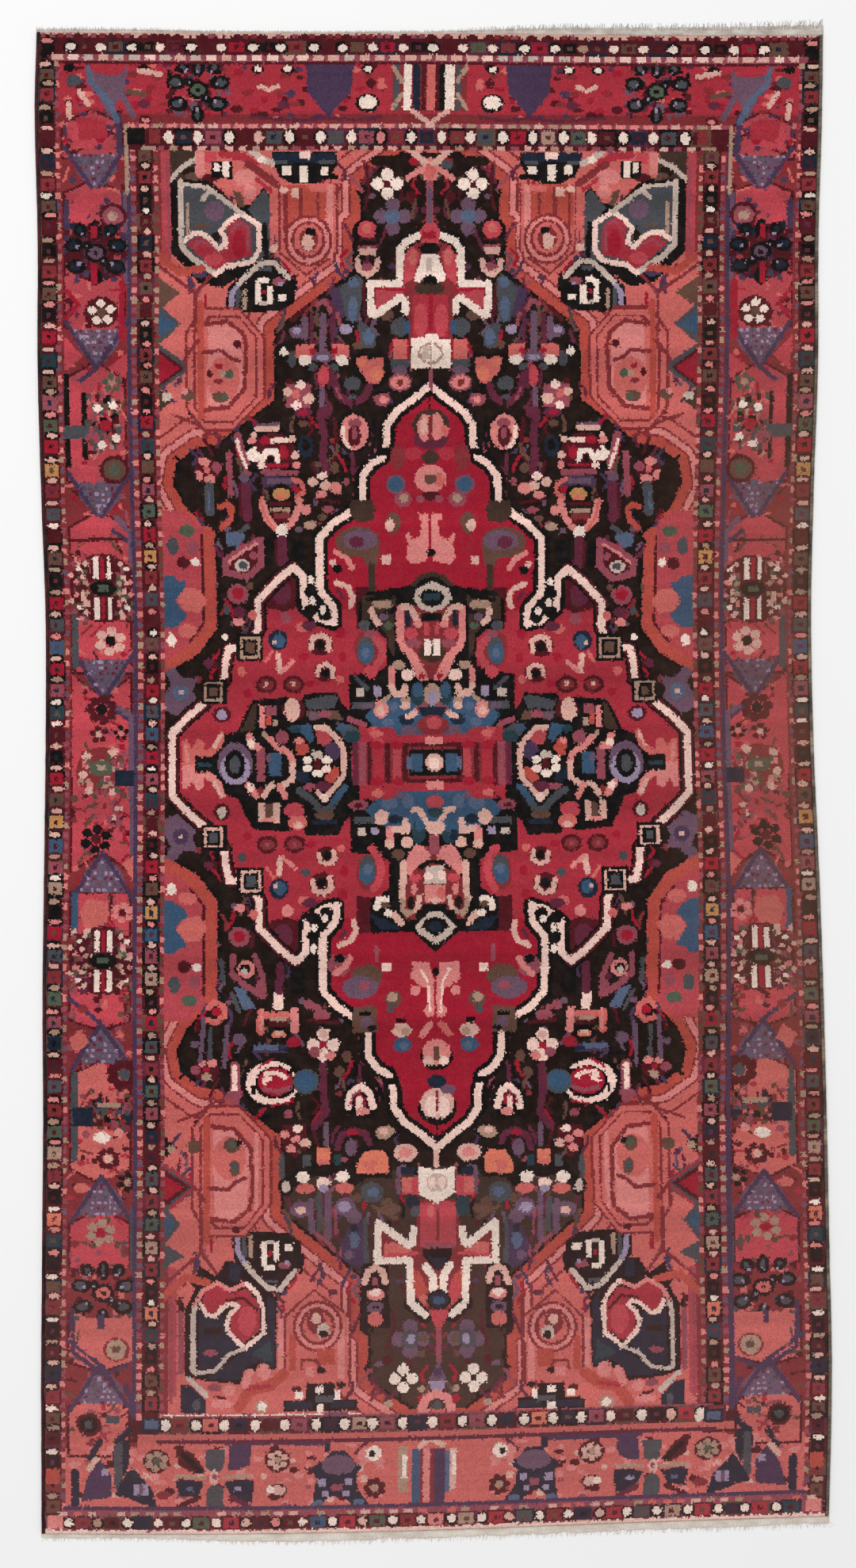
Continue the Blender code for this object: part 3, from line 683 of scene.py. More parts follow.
    "tulips": """
    @pair line wine 0.9 -23.6 88.4 -23.6 94.6, 0.9 -19.4 88.6 -19.2 95 line mauve 1.5 -21.4 86.4 -21.4 94.4,
    1.3 -25 90 -25 93.6 line rose 0.9 -17.8 92.6 -18.4 94.8 oval black -29.6 87.2 1.5 1.6 oval cream -29.3
    87.1 0.9 0.9 oval slate -27.6 85.6 0.9 1.6 patch coral -26.8 88.4 -23 88.8 -23.2 85.6 -26.8 86, -19.6
    88.8 -15.8 88.4 -15.8 86 -19.4 85.6 oval crimson -23.4 87.2 0.7 0.7 -19 87.2 0.7 0.7 oval cream -25 85.4
    1.4 1 -17.4 85.4 1.3 1 oval mauve -26.4 91.2 1.7 1.3 -21.3 86 2.2 1.1 oval lilac -26.6 91.4 0.9 0.7
    -16.6 91.6 1.2 1 -21.3 85.9 1.3 0.6 oval slate -23.4 84 1 0.8 -19 84 1 0.8 oval madder -21.2 82.2 1.1
    2.2 line wine 0.6 -22.9 83.6 -22.6 79.8, 0.6 -19.8 83.6 -20 79.8 line mauve 1.1 -21.6 79.6 -21.6 75
    patch black -15.4 86.8 -8.2 86.8 -7.8 82.6 -9.8 79.6 -12 79.4 -14.6 82.2 patch coral -14.7 85.9 -12.8
    86.2 -11.8 85.4 -10.8 86 -9 85.9 -8.8 83 -9.8 80.6 -11.6 80.6 -13.8 83 oval orange -10.4 82.6 1.2 1.6
    -13.4 84.8 0.9 0.8 oval slate -15.3 80.6 1.7 1.5 oval black -15.2 78.9 0.8 0.5 -30.2 -81.6 1.6 1.9 oval
    slate -15.3 77.8 0.9 0.6 line wine 1.5 -19.2 82.4 -18.2 78.4 -15.4 76.4 -12.8 77.8 -11.8 80, 1.3 -21.2
    -91.6 -22.4 -84 oval rose -9.2 77.4 1.7 1.4 oval pink -9 77.3 0.9 0.7 block rose -26.2 78.2 5.2 4.6 oval
    blush -28.5 79 0.9 0.9 -24.2 77.6 1.2 1.1 oval shell -25.8 80.4 1 0.9 -26.7 76.2 1 0.9 oval wine -25.2
    74.8 1.8 1.1 -21 74.8 1.5 1.3 line mauve 1.3 -25.2 -84.6 -25 -90.6 line slate 1.2 -23.6 -84 -23.4 -90
    line mauve 1.2 -21.6 -83 -21.6 -92 line rose 0.6 -18.6 79.6 -17.4 77.4, 0.7 -20.2 -86 -20 -91 oval mauve
    -27.2 -86.2 2.2 1.6 -18.2 -85.8 2.1 1.9 oval ash -30.2 -81.6 0.9 1.2 line black 0.6 -11 78.6 -7.4 79.2
    -5 78.4, 2.4 -28.4 -80.4 -27 -78 -22.6 -77.6 -18.2 -78 -16.6 -80.6 oval coral -26.8 78.6 0.9 0.9 -26.3
    -82 1.9 1.1 -18.3 -82 1.9 1.1 oval cream -26.7 -79.7 1.4 1.2 -18.8 -79.7 1.4 1.2 oval black -22.5 -78.9
    2 0.8 oval shell -22.7 -80.8 1.4 1.1 oval lilac -18.4 -85.8 1.3 1.1 -22.6 -82 1 0.8 block slate -26
    -76.4 1.7 2.4 block teal -19.7 -76.4 1.5 2.4 block orange -22.6 -75.4 2.8 3 block coral -22.6 -76.6 2.4
    1 line wine 1.4 -19.8 -73.8 -19 -71.4 -16.4 -70.4 -14 -71.2 -13.2 -73 oval crimson -25.4 74.8 0.9 0.6
    -16.6 -70.8 1.2 0.6 oval mauve -17 -73.8 1.2 1.8 line mauve 1 -22 -73 -22 -69 patch black -17 -79.8
    -16.6 -76 -14.6 -73.6 -10.4 -73.4 -8.6 -75.6 -8.6 -80.2 patch orange -16 -79.2 -15.8 -77 -14.2 -74.6
    -10.6 -74.4 -9.4 -76 -9.4 -79.2 oval coral -13.4 -77.6 0.9 0.9 line coral 0.7 -12.6 -79.2 -12.4 -76.8
    oval slate -12.8 -83 2.4 2.1 oval greyBlue -12.6 -83 1.2 1 oval umber -9.8 -85 1.2 0.9 -15.8 -84 0.9 0.9
    oval tan -10 -71 2.1 1.4 oval blush -27.1 -86.4 1 0.8 -10.4 -70.6 0.9 0.7 line black 0.6 -12.6 -72.6
    -9.4 -72.4 -7.2 -70.8 block maroon -28.4 -71.6 5 4.8 oval pink -30.4 -71 1 0.8 oval shell -27.8 -69.9 1
    0.8 oval blush -26.2 -72.8 1.1 0.9 oval pink -29.2 -73.9 1 0.8 -28.3 -72 0.9 0.8 oval slate -31 -77.6
    0.7 2.6 line maroon 0.6 -24.6 -70.4 -23.6 -73.6""",
    "pinkBud": """
    @pair oval black -15 70.8 3.6 4.4 -15 -64.2 3.7 3.9 oval pink -14.9 70.8 2.9 3.6 oval rose -14.8 72.6
    1.4 1 oval maroon -14.9 70 1.4 2.2 oval rose -14.8 70.6 0.6 1.2 line shell 0.7 -17.2 72 -17.2 69.6 -16
    67.8, 1.4 -17.5 -65.6 -17 -63 -15 -61.4 -13.2 -62.8 -12.5 -65.6 line brown 0.9 -15 75.2 -15 77 line wine
    0.8 -15.4 66.4 -15.2 62.6, 0.7 -15.2 -60.6 -15 -57.4 line maroon 0.8 -19 73.4 -18.6 69 oval umber -19
    63.6 0.9 1.2 -19.2 -58.4 1 1 -17.6 -55.4 1 1.2 line black 0.8 -11.2 74 -10.6 70 -11.4 66.4, 0.8 -11.4
    -61 -10.4 -64 line rose 0.5 -17 -65 -16.4 -63.2 -15 -62.4 patch crimson -16.2 -65.4 -16 -63.6 -15 -62.8
    -13.9 -63.8 -13.8 -65.4 line shell 1.2 -15.2 -64 -15.2 -67 oval pink -14.6 -66.6 1.4 0.8""",
    "ringRosette": """
    @pair oval black -31.6 67 5.8 4.9 oval maroon -31.6 66.8 4.6 3.9 line blush 1.1 -34.8 71.6 -30.6 71.7,
    1.1 -36.2 69 -35.4 70.4 line mauve 0.6 -34.6 72.5 -30.4 72.6 oval blush -27.6 69.4 0.8 0.7 -27 66.2 0.8
    0.8 oval pink -35.8 69.2 0.8 0.7 -26.8 64.2 0.8 0.8 line shell 1.1 -32 69.2 -29 69.3 oval crimson -33.2
    69.2 1.2 0.9 line cream 1.2 -33.8 65.4 -33 67 -31 67 -30.6 65.2, 0.9 -37 66.2 -35.4 67.6 oval cream
    -35.4 66 1.4 1.1 block black -32.2 65.4 1.1 1.3 block crimson -30.6 64.2 4.4 0.8 oval shell -34 64.2 0.8
    0.7 line rose 1.2 -33.6 62.8 -27 62.7, 1.6 -38.8 70.2 -38 66.8 -36.6 63 line shell 0.7 -39 69.2 -38 66
    -37 63.8 oval navy -24.9 68 1.6 2.2 oval black -36 63.6 0.9 0.8 -24.9 68.2 0.8 1.2 -33 -60.6 6.4 4.9
    line wine 1.6 -21.8 74 -21 70 -21.4 66 -20.6 62.8 line maroon 0.8 -23.4 64.6 -22.4 61.6 oval umber -25.4
    72.6 1 0.7 oval blush -23.5 60.8 1.1 0.9 oval shell -21.6 62 1.1 0.8 -32.8 -60.6 5.4 4.4 oval black
    -32.2 -60.6 4.2 3.3 -33.8 -67.4 1.4 0.6 oval crimson -29.4 66.8 0.9 1.5 -32.2 -60.4 3.6 2.8 line shell 1
    -34.4 -60.4 -34 -58.6 -31.8 -58.6 -30.2 -59.4 block shell -33.6 -59.8 1.4 1 line rose 0.9 -34.4 -61.8
    -31.6 -62.4 -29.2 -61.6, 2 -40.4 -57.2 -40.4 -64 block black -28.2 -58.2 2 0.9 -36.8 -62 0.8 2 -38 -58
    0.9 2 line crimson 0.5 -35.6 -57.4 -33 -55.9, 0.5 -33 -65.2 -29 -64.4 line shell 1.1 -40.4 -57.4 -40.4
    -62.4 patch rose -42.8 -64 -42 -62.2 -38.8 -62.2 -39.6 -64.4 oval slate -26 -60.4 2.7 2.5 oval blue -26
    -60.2 2.1 2.1 line wine 1.5 -22.4 -57 -22.6 -62 -22 -66.6 -24.4 -69.6 four shell,crimson -22.4 -53 3.3
    oval rose -29.6 -66.8 1 0.9 -24.2 -54.4 1.2 1 oval blush -20.8 60 1.2 0.9 -22.3 -50.9 1 0.8 oval pink
    -18.8 59.5 1.3 1.2 -21.8 58.3 1.2 0.8 -21 -55.2 1.1 0.9""",
    "vase": """
    @pair patch purple -33.6 62 -27 61.9 -26.4 60 -33.8 59.8, -36.6 -52.8 -29.4 -52.8 -29.6 -54.6 -36.4
    -54.4 block mauve -30.4 61 5 1 line coral 1 -27.6 61.4 -25.8 60.6 -25.4 58.8 -26.8 57.6 oval crimson -27
    59.4 0.9 0.8 oval black -30 58.3 2.7 2.1 oval ochre -30 58.4 1.8 1.3 oval orange -30 57.8 1.2 0.6 line
    pink 1.5 -34 56.8 -33 53.4 -31.4 51.6, 1.4 -26.2 57 -27.2 53.6 -28.6 51.8 line coral 0.6 -34.4 57.4
    -33.4 54 -31.8 51.4 block tan -30.2 55.2 4.2 1 block brick -30 54 3.8 1 block maroon -30.2 56.4 4.4 0.8
    -30 53 3 0.8 oval cream -30 50.9 1.3 1.3 line wine 2 -30 49.2 -30 44.4 oval pink -25 55.2 1 1.1 oval
    rose -20.4 55.3 1.3 0.7 -16.6 60.8 0.6 0.9 oval tan -24.2 52 1.3 0.8 oval umber -21.6 53.6 0.9 0.7 line
    maroon 0.6 -31.2 49 -31.2 44.6, 0.6 -23 57.4 -18 56.6 block greyBlue -34 -53.5 5 1.1 block navy -30.6
    -53.8 2 0.9 oval crimson -28.4 -52.4 1.5 1.1 oval black -31.4 -50.8 2.4 1.5 oval orange -31.4 -50.8 1.5
    0.8 oval blush -31.4 -50.5 0.9 0.5 line coral 1.6 -35.2 -50 -35 -46.4 line pink 0.8 -35 -49.6 -34.6 -46
    line coral 1.5 -34 -46.8 -29.8 -46.8 line pink 1.6 -28.2 -49.8 -28.2 -46 block maroon -31.6 -48.6 3.8 1
    block tan -31.6 -47.6 3.4 0.8 line shell 2 -31.4 -45 -31.4 -42.8 line wine 1.7 -31.2 -42 -31 -37 block
    black -32.8 46.8 1.8 6 -26.8 47 3 4.6 -27.4 -40 3 4.8 -38.6 -55 4 1 oval rose -25.2 -44.8 1.1 1 -22.6
    -47 1.8 1.1 line maroon 0.8 -25 -48 -19.4 -48.6 oval mauve -39.4 -51.8 1.4 1.2""",
    "darkLobe": """
    @pair oval maroon -45.2 63.2 2.6 2.4 -46.2 -58 2.7 2.2 oval pink -47 62.2 1 1 -45.7 64.9 1.2 0.9 oval
    rose -43.2 63.8 1.1 1.1 oval pink -44.6 61.4 1.2 0.9 oval coral -45.2 63.3 0.7 0.8 line slate 1.9 -44.7
    60 -44.7 54.8 line greyBlue 0.6 -45 58.6 -45 55.4 line brown 2 -48.4 62 -48.4 56 line rose 1.3 -40.6
    66.4 -40.4 58.4 line wine 2 -37.4 60 -37 53.8 line maroon 0.7 -38.6 60.4 -38.4 54 oval mauve -37.6 61.8
    1.1 1 line terracotta 1.2 -42.6 55.8 -41.2 56.4 -40.2 55.4 -40.6 53.2 -42.4 51.6 patch greyBlue -41.8
    50.4 -38 51.2 -37.6 49.6 -39.2 47.6 -41.4 48 line slate 1 -38.6 50.9 -37 51.8 patch maroon -42 45 -38.4
    47.6 -34.2 49.6 -33.8 44 -37.4 41 -41 42 line rose 1.4 -41.8 42.6 -41.8 45 -38 47.6 -34.4 49.2 -34.4
    44.2 -37.4 41.6 -41.6 42.6 line pink 0.6 -41 44.8 -38 46.9 -35.2 48.4 oval ash -38.3 44 1.6 1.3 oval
    slate -38.2 44 0.9 0.8 oval rose -36 46 0.8 0.8 -39.4 38.2 2.2 2 -48.4 -57.9 1.1 0.9 oval crimson -39.4
    38.4 1.3 1.2 oval wine -39.2 34.6 1.4 1.1 oval pink -39.3 32.6 1.2 0.8 -45 -56.5 1 0.9 -47 -56.6 0.8 0.7
    oval slate -41.8 35 0.7 0.9 oval umber -36.9 39.9 0.8 0.7 oval cream -42.2 29.6 0.7 0.7 oval tan -46.2
    -59.3 1.1 0.8 line mauve 1 -47.4 -56 -46.6 -47.6, 1 -42.6 -57 -41.8 -49 line slate 0.8 -45.2 -49.6 -45.4
    -55.6 line coral 1.2 -45.8 -45.4 -44.4 -44.2 -42.6 -45 -42.4 -47 -44.2 -48.4 -45.8 -47.8 patch greyBlue
    -40.6 -41 -38.2 -41.6 -36 -45.6 -38.6 -45.8 line slate 0.8 -41 -42.2 -39.4 -46 line rose 1.3 -40.6 -35
    -40.8 -38.6 -38 -41 -34.6 -43, 1.2 -36.2 -35 -34.6 -39 -34.4 -42.6 oval pink -38 -37.6 1.8 1.8 -39.3
    -25.2 1.2 0.8 oval black -41.6 54.6 0.7 0.7 -38.2 -37.6 1.1 1.1 oval ash -38.3 -38 0.7 0.7 oval rose -35
    -41.2 1 1.4 -39.4 -31 2.2 2 oval crimson -46.2 -57.8 0.7 0.6 -44 -46.2 1 0.9 -39.4 -31 1.2 1.1 line
    slate 1 -43 -36 -42.6 -40 line maroon 0.8 -36.8 -33 -36.4 -29""",
    "waist": """
    @all patch mauve -54.8 22.4 -53.4 20.2 -54.9 17.6 -54.9 14.8 -52 13.6 -50.2 15.6 -47.8 16.4 -49 18.6 -48
    21.2 -51 21.2 -52.8 23.4 oval greyBlue/purple -51.4 18.3 1.6 1.6 block blush -51.4 18.3 0.9 0.9 oval
    wine -45.6 24.2 1 0.9""",
    "medallionTip": """
    @one oval earth 0.8 72.2 3.8 3.2 oval wine 0.8 69.4 3.6 2.2 oval pink -0.5 71.6 1.5 2.7 1.9 71.8 1.4 2.8
    oval blush -0.7 72 0.8 1.8 block brick 0.7 71.6 0.6 4.8 oval earth 0.7 65.6 1.8 1.3 oval pink 0.7 61.3
    3.3 2.8 oval coral 3.6 71 0.9 1.2 2.6 61 1.2 1.4 oval umber 0.7 61.2 1.3 1 oval maroon 0.8 57.8 2 0.9
    @pair oval red -2.8 66.4 1.6 1.4 oval brick -6 65.6 1.6 2.6 oval mauve -6.4 60.2 2 2 oval blue -6.4 60.2
    1.5 1.5 oval rose -4.9 57.2 1.9 1.6 -1.4 57.2 0.8 0.7 oval tan -4.8 57.4 1 0.8 oval umber -7 52.4 1.6
    2.2 oval blush -7.7 52 1 1.3 patch earth -15.8 57 -11.4 57 -10.6 55 -11.2 52.8 -14.4 52.6 -16 54.4 oval
    umber -14.4 48.6 4.6 3.1 patch umber -14 46.6 -10 47.4 -10.4 43.6 -12.4 43.6 oval mauve -13.8 49 3.6 2.1
    oval wine -14.6 48.6 1.6 1.2 line earth 1.3 -11.6 43.6 -11.6 38 line pink 1.1 -19 46.6 -16.8 45.4 -15.6
    43.4 oval blush -19.6 44.4 0.7 0.7 oval black -18.7 43.2 1 0.9 @one oval black 0.6 -66.2 3.9 3.4 0.6
    -55.6 3.3 3 oval blush 0.6 -65.2 3.4 3.2 oval shell -0.6 -65.9 1.3 2.2 1.9 -66 1.2 2.2 block brick 0.6
    -64.8 0.6 4.4 oval navy 0.6 -60.8 1.9 1.3 oval mauve 2.8 -62.4 1.6 0.9 oval pink 0.6 -54.9 2.9 2.6 oval
    blush -1 -56.6 1.2 0.9 oval shell 2 -56.6 1 0.9 block umber 0.6 -55.2 1.3 2.8 line pink 1.4 -2.2 -51.2
    -0.6 -49.2 line coral 1.4 3.2 -51 1.6 -49.2 @pair oval umber -8 -44 1.7 1.6 -13.4 -39.2 3.2 2.4 oval
    slate -8.6 -46 0.9 0.8 block black -6.6 -48.3 2 0.9 oval blush -6.4 -50.3 2 1.4 oval tan -8.2 -43.6 1.1
    1 -5.6 -50.6 0.9 0.8 oval blue -6.3 -53.2 1.9 1.5 oval greyBlue -6 -53.4 1 0.8 patch umber -16 -45.4
    -11.6 -45.4 -11.2 -50.6 -16.6 -50.6 -16.6 -48 block black -13.8 -46.8 2.6 0.9 oval mauve -13.6 -48.6 1.3
    1 -14.8 -41.5 3.7 2.3 oval rose -13.8 -41.2 1.3 0.9 -19 -37 2.3 2.3 line pink 1.3 -19.6 -38.6 -17.8
    -37.2 -16.8 -35.6 oval black -12.4 -49.7 1 0.6 -19 -35.6 1.1 0.9""",
    "splitLeaf": """
    @pair patch pink -1.8 54.4 0.3 54.4 0.3 47.2 -0.1 46.4 0 44.6 -3.4 44 -4.4 45.2 -4.2 47.2 -3.4 48.6 -1.4
    49.8 -1.2 52.8 -1.8 53.2, -4.2 -36.4 -0.5 -36.6 -0.4 -38.2 0.2 -40 0.2 -47.4 -1.4 -47.6 -1.9 -46.4 -0.7
    -44.6 -0.8 -42 -2.6 -41.4 -4.4 -39.8 line pink 1 -4 49.8 -3.4 48.2 block blush -8.5 44.9 1.7 1.8 oval
    pink -3.5 -42.3 1 1 line shell 0.5 -2.4 -38 -1 -40.6 -0.6 -46.6 block shell -9.4 -37.6 1.8 1.7 @one oval
    black 0.7 46.3 0.9 0.8 0.7 -38.6 0.8 0.9""",
    "sideLozenge": """
    @all patch black -48.4 3.75 -48.4 5.6 -44.2 6.4 -42.6 9.6 -39.6 10.6 -38 14.2 -36.4 16.8 -31.4 17.2
    -29.6 17.4 -26.6 16.4 -25.8 18 -19 18.2 -17.8 15.6 -14.4 12.6 -14.4 8.4 -16.6 6.6 -16.6 3.75 @pair patch
    earth -39 10.4 -36.4 16 -35.6 16.2 -36 10.8 patch slate -25.8 16.6 -20 17.8 -18.6 17.2 -19.8 15 -25 14.8
    patch umber -25.6 14.4 -18.8 14.6 -17.8 12.6 -19.6 12.8 -22 13.2 -24.6 12.4 oval mauve -24 13.6 1 0.7
    patch blue -28.4 11.6 -24.4 12 -23.8 9 -24.6 7.8 -26 9.6 patch slate -19.2 12 -16.4 11.8 -14.4 10.6
    -14.6 8.2 -17 8.2 -18.4 10 oval teal -27.8 10.9 1.2 0.8 -15.8 9.3 1.7 1.2 oval blue -18 11 1.2 0.7 patch
    softRed -23.4 10.6 -21.4 10.4 -20 8.8 -21.2 7.4 -23.2 8 oval purple -20 6.3 1.7 1.9 patch terracotta
    -27.8 9 -26 9 -24.8 7 -25.8 5.6 -27.4 5.6 oval pink -27 8.5 0.8 0.7 line blush 1.2 -23.4 11.2 -21.2 11
    -19.4 9.2 -18 7.4 -17.7 5.4 -17.7 3.75 line slate 1.5 -27 -1.6 -24.2 -3.6 -22.6 -5.6 -20.8 -5.6 -18 -1.4
    line blue 1.2 -20 -3.8 -17.4 -1 oval umber -21.8 -6.6 2.1 0.9 line navy 1 -23.8 -8 -19.6 -8 oval rose
    -21.6 13.9 1.4 0.8 -24.8 -0.8 1.4 0.8 oval wine -22 -0.8 1.8 1 patch terracotta -21.2 2.6 -18.6 3.2
    -18.6 1.2 -20.2 -0.2 -21.8 0.6 patch navy -27.6 2.6 -25.4 2 -24.8 0.4 -26.4 -0.2 -27.6 0.8 line blush
    1.1 -17.7 3.75 -18 1 -20.4 -1.8 -21.8 -3.2 -23.2 -2 oval black -23.2 3.75 3.1 2.8 oval cream -25.2 4.6 1
    0.8 oval ash -23.2 5.6 1.2 0.9 oval cream -21.2 4.6 1 0.8 oval shell -21.8 -3.1 1 0.9 -21.3 2.7 1 0.8
    oval cream -23.2 1.8 1.2 0.8 -25.3 2.9 1 0.8 block black -45.8 3.75 5.4 3 block teal -46.4 3.75 3 1 oval
    black -40.2 3.75 4.1 5 oval mauve -40.2 3.9 3.6 4.3 oval lilac -40.1 2.9 3.1 3.3 oval black -40.2 3.75
    2.1 2.9 oval slate -40.2 3.75 1.1 1.8 block rose -34.9 3.75 1.5 6.8 block black -31.4 3.75 4.6 5.8 block
    blue -32 3.75 2.5 4.6 oval mauve -33.2 5 0.7 0.8 line pink 1.5 -37.2 9.4 -36.7 7.4 -35.4 7.3 line tan 1
    -34.2 10 -33.2 9 line pink 1.3 -33 9 -31.4 7.2 -30 6.6 -28.7 5.6 -28.3 3.75, 1.5 -37.5 -0.4 -36.4 -1.8
    -35.8 -2.4 oval rose -30.4 9.2 1.4 1.4 oval shell -36.9 8 0.8 0.9 -37 -0.8 0.8 0.9 oval brick -35 -1.6
    0.7 0.8 line blush 1.2 -34.2 -2.6 -33.2 -0.8 -32.4 -0.4, 1.3 -28.3 3.75 -28.2 1 -29.8 -0.2 -31 -0.8 line
    pink 1.3 -31 -0.6 -29.8 -2.8 block pink -34.7 13.4 1.2 4.4 block rose -32.6 14.8 2.4 2 block terracotta
    -33.2 12.8 1.2 2 block tan -31.8 12.2 1.2 1.6 block blush -34.8 -5.8 1.4 4 block umber -33.2 -5.6 1.6
    2.8 block blush -31.7 -6 1.4 4.2 block pink -33.4 -7.5 2.4 0.8 oval maroon -23.2 3.75 0.8 1.3 -28 14.8
    2.4 2.2 oval madder -28 -5.6 2.1 1.6 oval coral -27.3 -8 2 1.4 oval blush -28.3 14.8 1.6 2.4 -27.3 -8.6
    1 0.7 @all patch coral/pink -51.2 3.75 -51.2 8.6 -50.2 8.8 -49.2 7 -48 9 -46.6 8.4 -46.6 6.4 -44.6 7.6
    -43 10.8 -42.2 10 -43 7.2 -45.2 5.3 -48.6 5.5 -48.6 3.75 line pink 0.8 -50.4 7.4 -50 4.6 line blush 0.8
    -44.4 7.4 -43.2 9.8 @pair oval maroon -42.9 13.9 1.9 1.6 -42.9 -5.8 1.7 1.7 oval lilac -42.9 13.8 1.1 1
    oval ash -42.9 -5.9 0.9 1.2""",
    "cartouche": """
    @ends patch black 0.7 42.6 -3.6 40 -6 39.2 -12.4 38.6 -14.4 36.6 -14.6 31 -10.8 30.8 -8.6 28.8 -8.6 23.4
    -11 22.2 -16.4 21.8 -16.4 13.6 -9 7.8 10.4 7.8 17.8 13.6 17.8 21.8 12.4 22.2 10 23.4 10 28.8 12.2 30.8
    16 31 15.8 36.6 13.8 38.6 7.4 39.2 5 40 patch blue -13.4 13.2 -10.2 16.4 -6 17.2 7.4 17.2 11.6 16.4 14.8
    13.2 11 9.2 7.4 7.6 -6 7.6 -9.6 9.2 patch brick -5.6 35.4 -5.8 28.4 -3.2 24.8 -1.2 20.6 2.6 20.6 4.6
    24.8 7.2 28.4 7 35.4 @pair patch earth -13.8 37.8 -6.8 37.8 -6.8 35.6 -12 33 -13.8 33, -9.6 33.8 -7 34
    -7 24.6 -8.2 27 -8.6 30 -10 31.6 oval green -8.2 31.6 0.9 0.8 oval slate -13.2 31.8 1.3 1 line black 0.9
    -12.4 37 -7.8 37.5 line tan 1.5 -10.9 36 -8.1 35.9 oval brick -12.7 27 2.7 3.8 line softRed 1.6 -11.6
    29.6 -9.8 27.8 -9.4 25.8 -10.6 23.6 oval slate -12.9 27 1.7 2.5 oval blue -13 26 1.6 2 oval madder -12
    22.3 1.4 1.3 line pink 1.4 -7.7 22.8 -7.8 19.6 line blush 1.3 -11.6 34.8 -11.2 33 -10.3 32.2, 1.4 -7.8
    19.4 -7.1 17.9 -5.2 17.7 -4.8 19.2 oval shell -4.3 21.6 1.4 1.2 oval tan -4.8 16.4 1 0.8 -6.2 23.6 1.3
    0.9 block black -6.4 20.8 1.2 3.8 oval pink -9.9 14.7 1.5 1.8 oval blush -4.8 15.4 1 0.8 -10 14.4 0.8 1
    line tan 0.9 -9.4 16.4 -8.2 17.4 line slate 0.9 -15.2 21.2 -12.8 19 block ash -14.2 18.2 1.8 1.7 block
    lilac -10.6 18.4 1.8 1.9 block slate -13.5 15.6 4.6 1.5 block mauve -12.8 15.6 2.2 0.9 oval greyBlue -13
    26.2 0.8 1 -7.2 15.2 1 1 -8.6 12 1.1 0.9 oval navy -4.6 12.6 1.6 1.2 oval mauve -9.2 33.4 1 0.8 -4.2
    10.2 1.6 1 patch madder -12.8 11 -11 11.2 -8.4 9 -8.6 7.4 -10.4 7.6 -12.6 9.8 line rose 1.2 -2.8 14.2
    -0.9 15.6, 1.1 -16.6 12.8 -13.4 11.6 oval teal -2.3 17.6 1.4 2.3 oval blue -2.3 18.6 1.2 1.5 patch pink
    -4.6 25.9 -2.4 25.9 0.1 20.6 -1.6 20.2 -2.6 21.2 oval crimson -1.2 21.4 0.7 0.6 line pink 1.5 -5.8 35
    -5.9 29 -5 27 -2.9 25.3 line blush 1.1 -4.4 13.1 -2.8 13.9, 1.3 -5.3 35.4 -3.9 35.3 -2.9 34 -2.2 32.4
    oval pink -2.1 31.9 0.9 0.9 block navy -4.2 33 1.3 3.4 oval madder -3.5 30 1.4 1.2 oval rose -12 30 1.4
    0.8 -3 28 1.5 1 @one line earth 1 -3 39.8 -1.4 41.4 0.8 42 3 41.4 4.8 39.8 patch ash 0.8 40.6 -2.4 39 -3
    37 -1.6 34.9 0.8 34.2 3.2 34.9 5 37 4.4 39 patch black 0.8 39 -0.9 38.6 -1.8 37.2 -0.8 35.8 0.8 35.3 2.6
    35.8 3.6 37.2 2.6 38.6 block teal 0.9 37.3 3.2 1.5 block black 0.7 33.4 4.4 1.7 block madder -0.3 31 1
    2.6 1.8 31 1 2.6 oval earth 0.8 26 2.9 1.9 block cream -0.2 27.1 1.3 3.5 1.8 27.1 1.3 3.5 block brick
    0.7 22.4 1 3 patch navy -2.4 15.2 3.8 15.2 3 13.2 -1.4 13.2 oval tan 0.7 17.6 1.7 2.3 oval lilac 0.9 17
    1 1.5 oval brick 0.9 11.4 3.4 2 oval softRed 1 11.8 1.5 1.3 @pair line cream 1.4 -9.3 -23.8 -10.8 -23.9
    -11.3 -25.4 oval umber -9.6 -24.9 1 0.7 line blush 1.3 -9.2 -26.4 -7.8 -26.9 -6.2 -28.6 oval cream -8.9
    -26.6 0.9 0.8 patch navy -12.8 -26.8 -9.6 -27.6 -6 -30 -10.4 -30 patch maroon -15.4 -22.8 -12.6 -23.4
    -12.4 -30.8 -15.4 -30.8 oval brick -12.8 -18.4 2.6 3.7 line madder 1.6 -12.2 -13.4 -10.9 -15 -10.2 -17.8
    -10.9 -20.4 -11.8 -21.6 oval slate -13.1 -17.4 1.7 2.7 oval blue -13.2 -18.6 1.6 2 block slate -13.4
    -7.7 4.6 1.5 block ash -14.2 -10 1.7 1.6 block lilac -11.4 -9.9 1.7 1.5 oval blush -10 -7.2 1.5 1.6 line
    pink 1.7 -8.4 -9.8 -8.5 -12.4 oval blush -8.5 -12.6 1 1 -4.9 -12.3 1.4 1.1 line blush 1.5 -7.4 -9.6 -5.6
    -9.8, 1.5 -5.2 -7.9 -4.8 -9.8 oval umber -6.7 -14.6 1.3 1 block black -6.6 -12 1.1 2.4 oval greyBlue -13
    -17.6 1 1.1 -8.4 -4.4 1.7 1.3 -4.6 -4 1.2 1.4 oval navy -7.2 -7.6 1.6 0.9 oval mauve -6.4 -2.8 1 0.7
    patch red -13.2 -3.6 -10.6 -1.2 -9 -1 -9.4 -2.8 -11.2 -3.6 oval rose -14.7 -4.6 2 1.1 oval maroon -14.8
    -4.7 0.9 0.5 line blush 1.2 -3.4 -5.6 -2.1 -5.8 -1.2 -7.6 -0.6 -8.6 oval teal -2.5 -10.2 1.4 2.5 oval
    blue -2.3 -8.8 0.9 1.2 patch pink -3 -12.6 -1.8 -13 0 -14.8 -0.4 -15.8 -2.4 -16.8 -4.4 -19 -6.2 -18.4
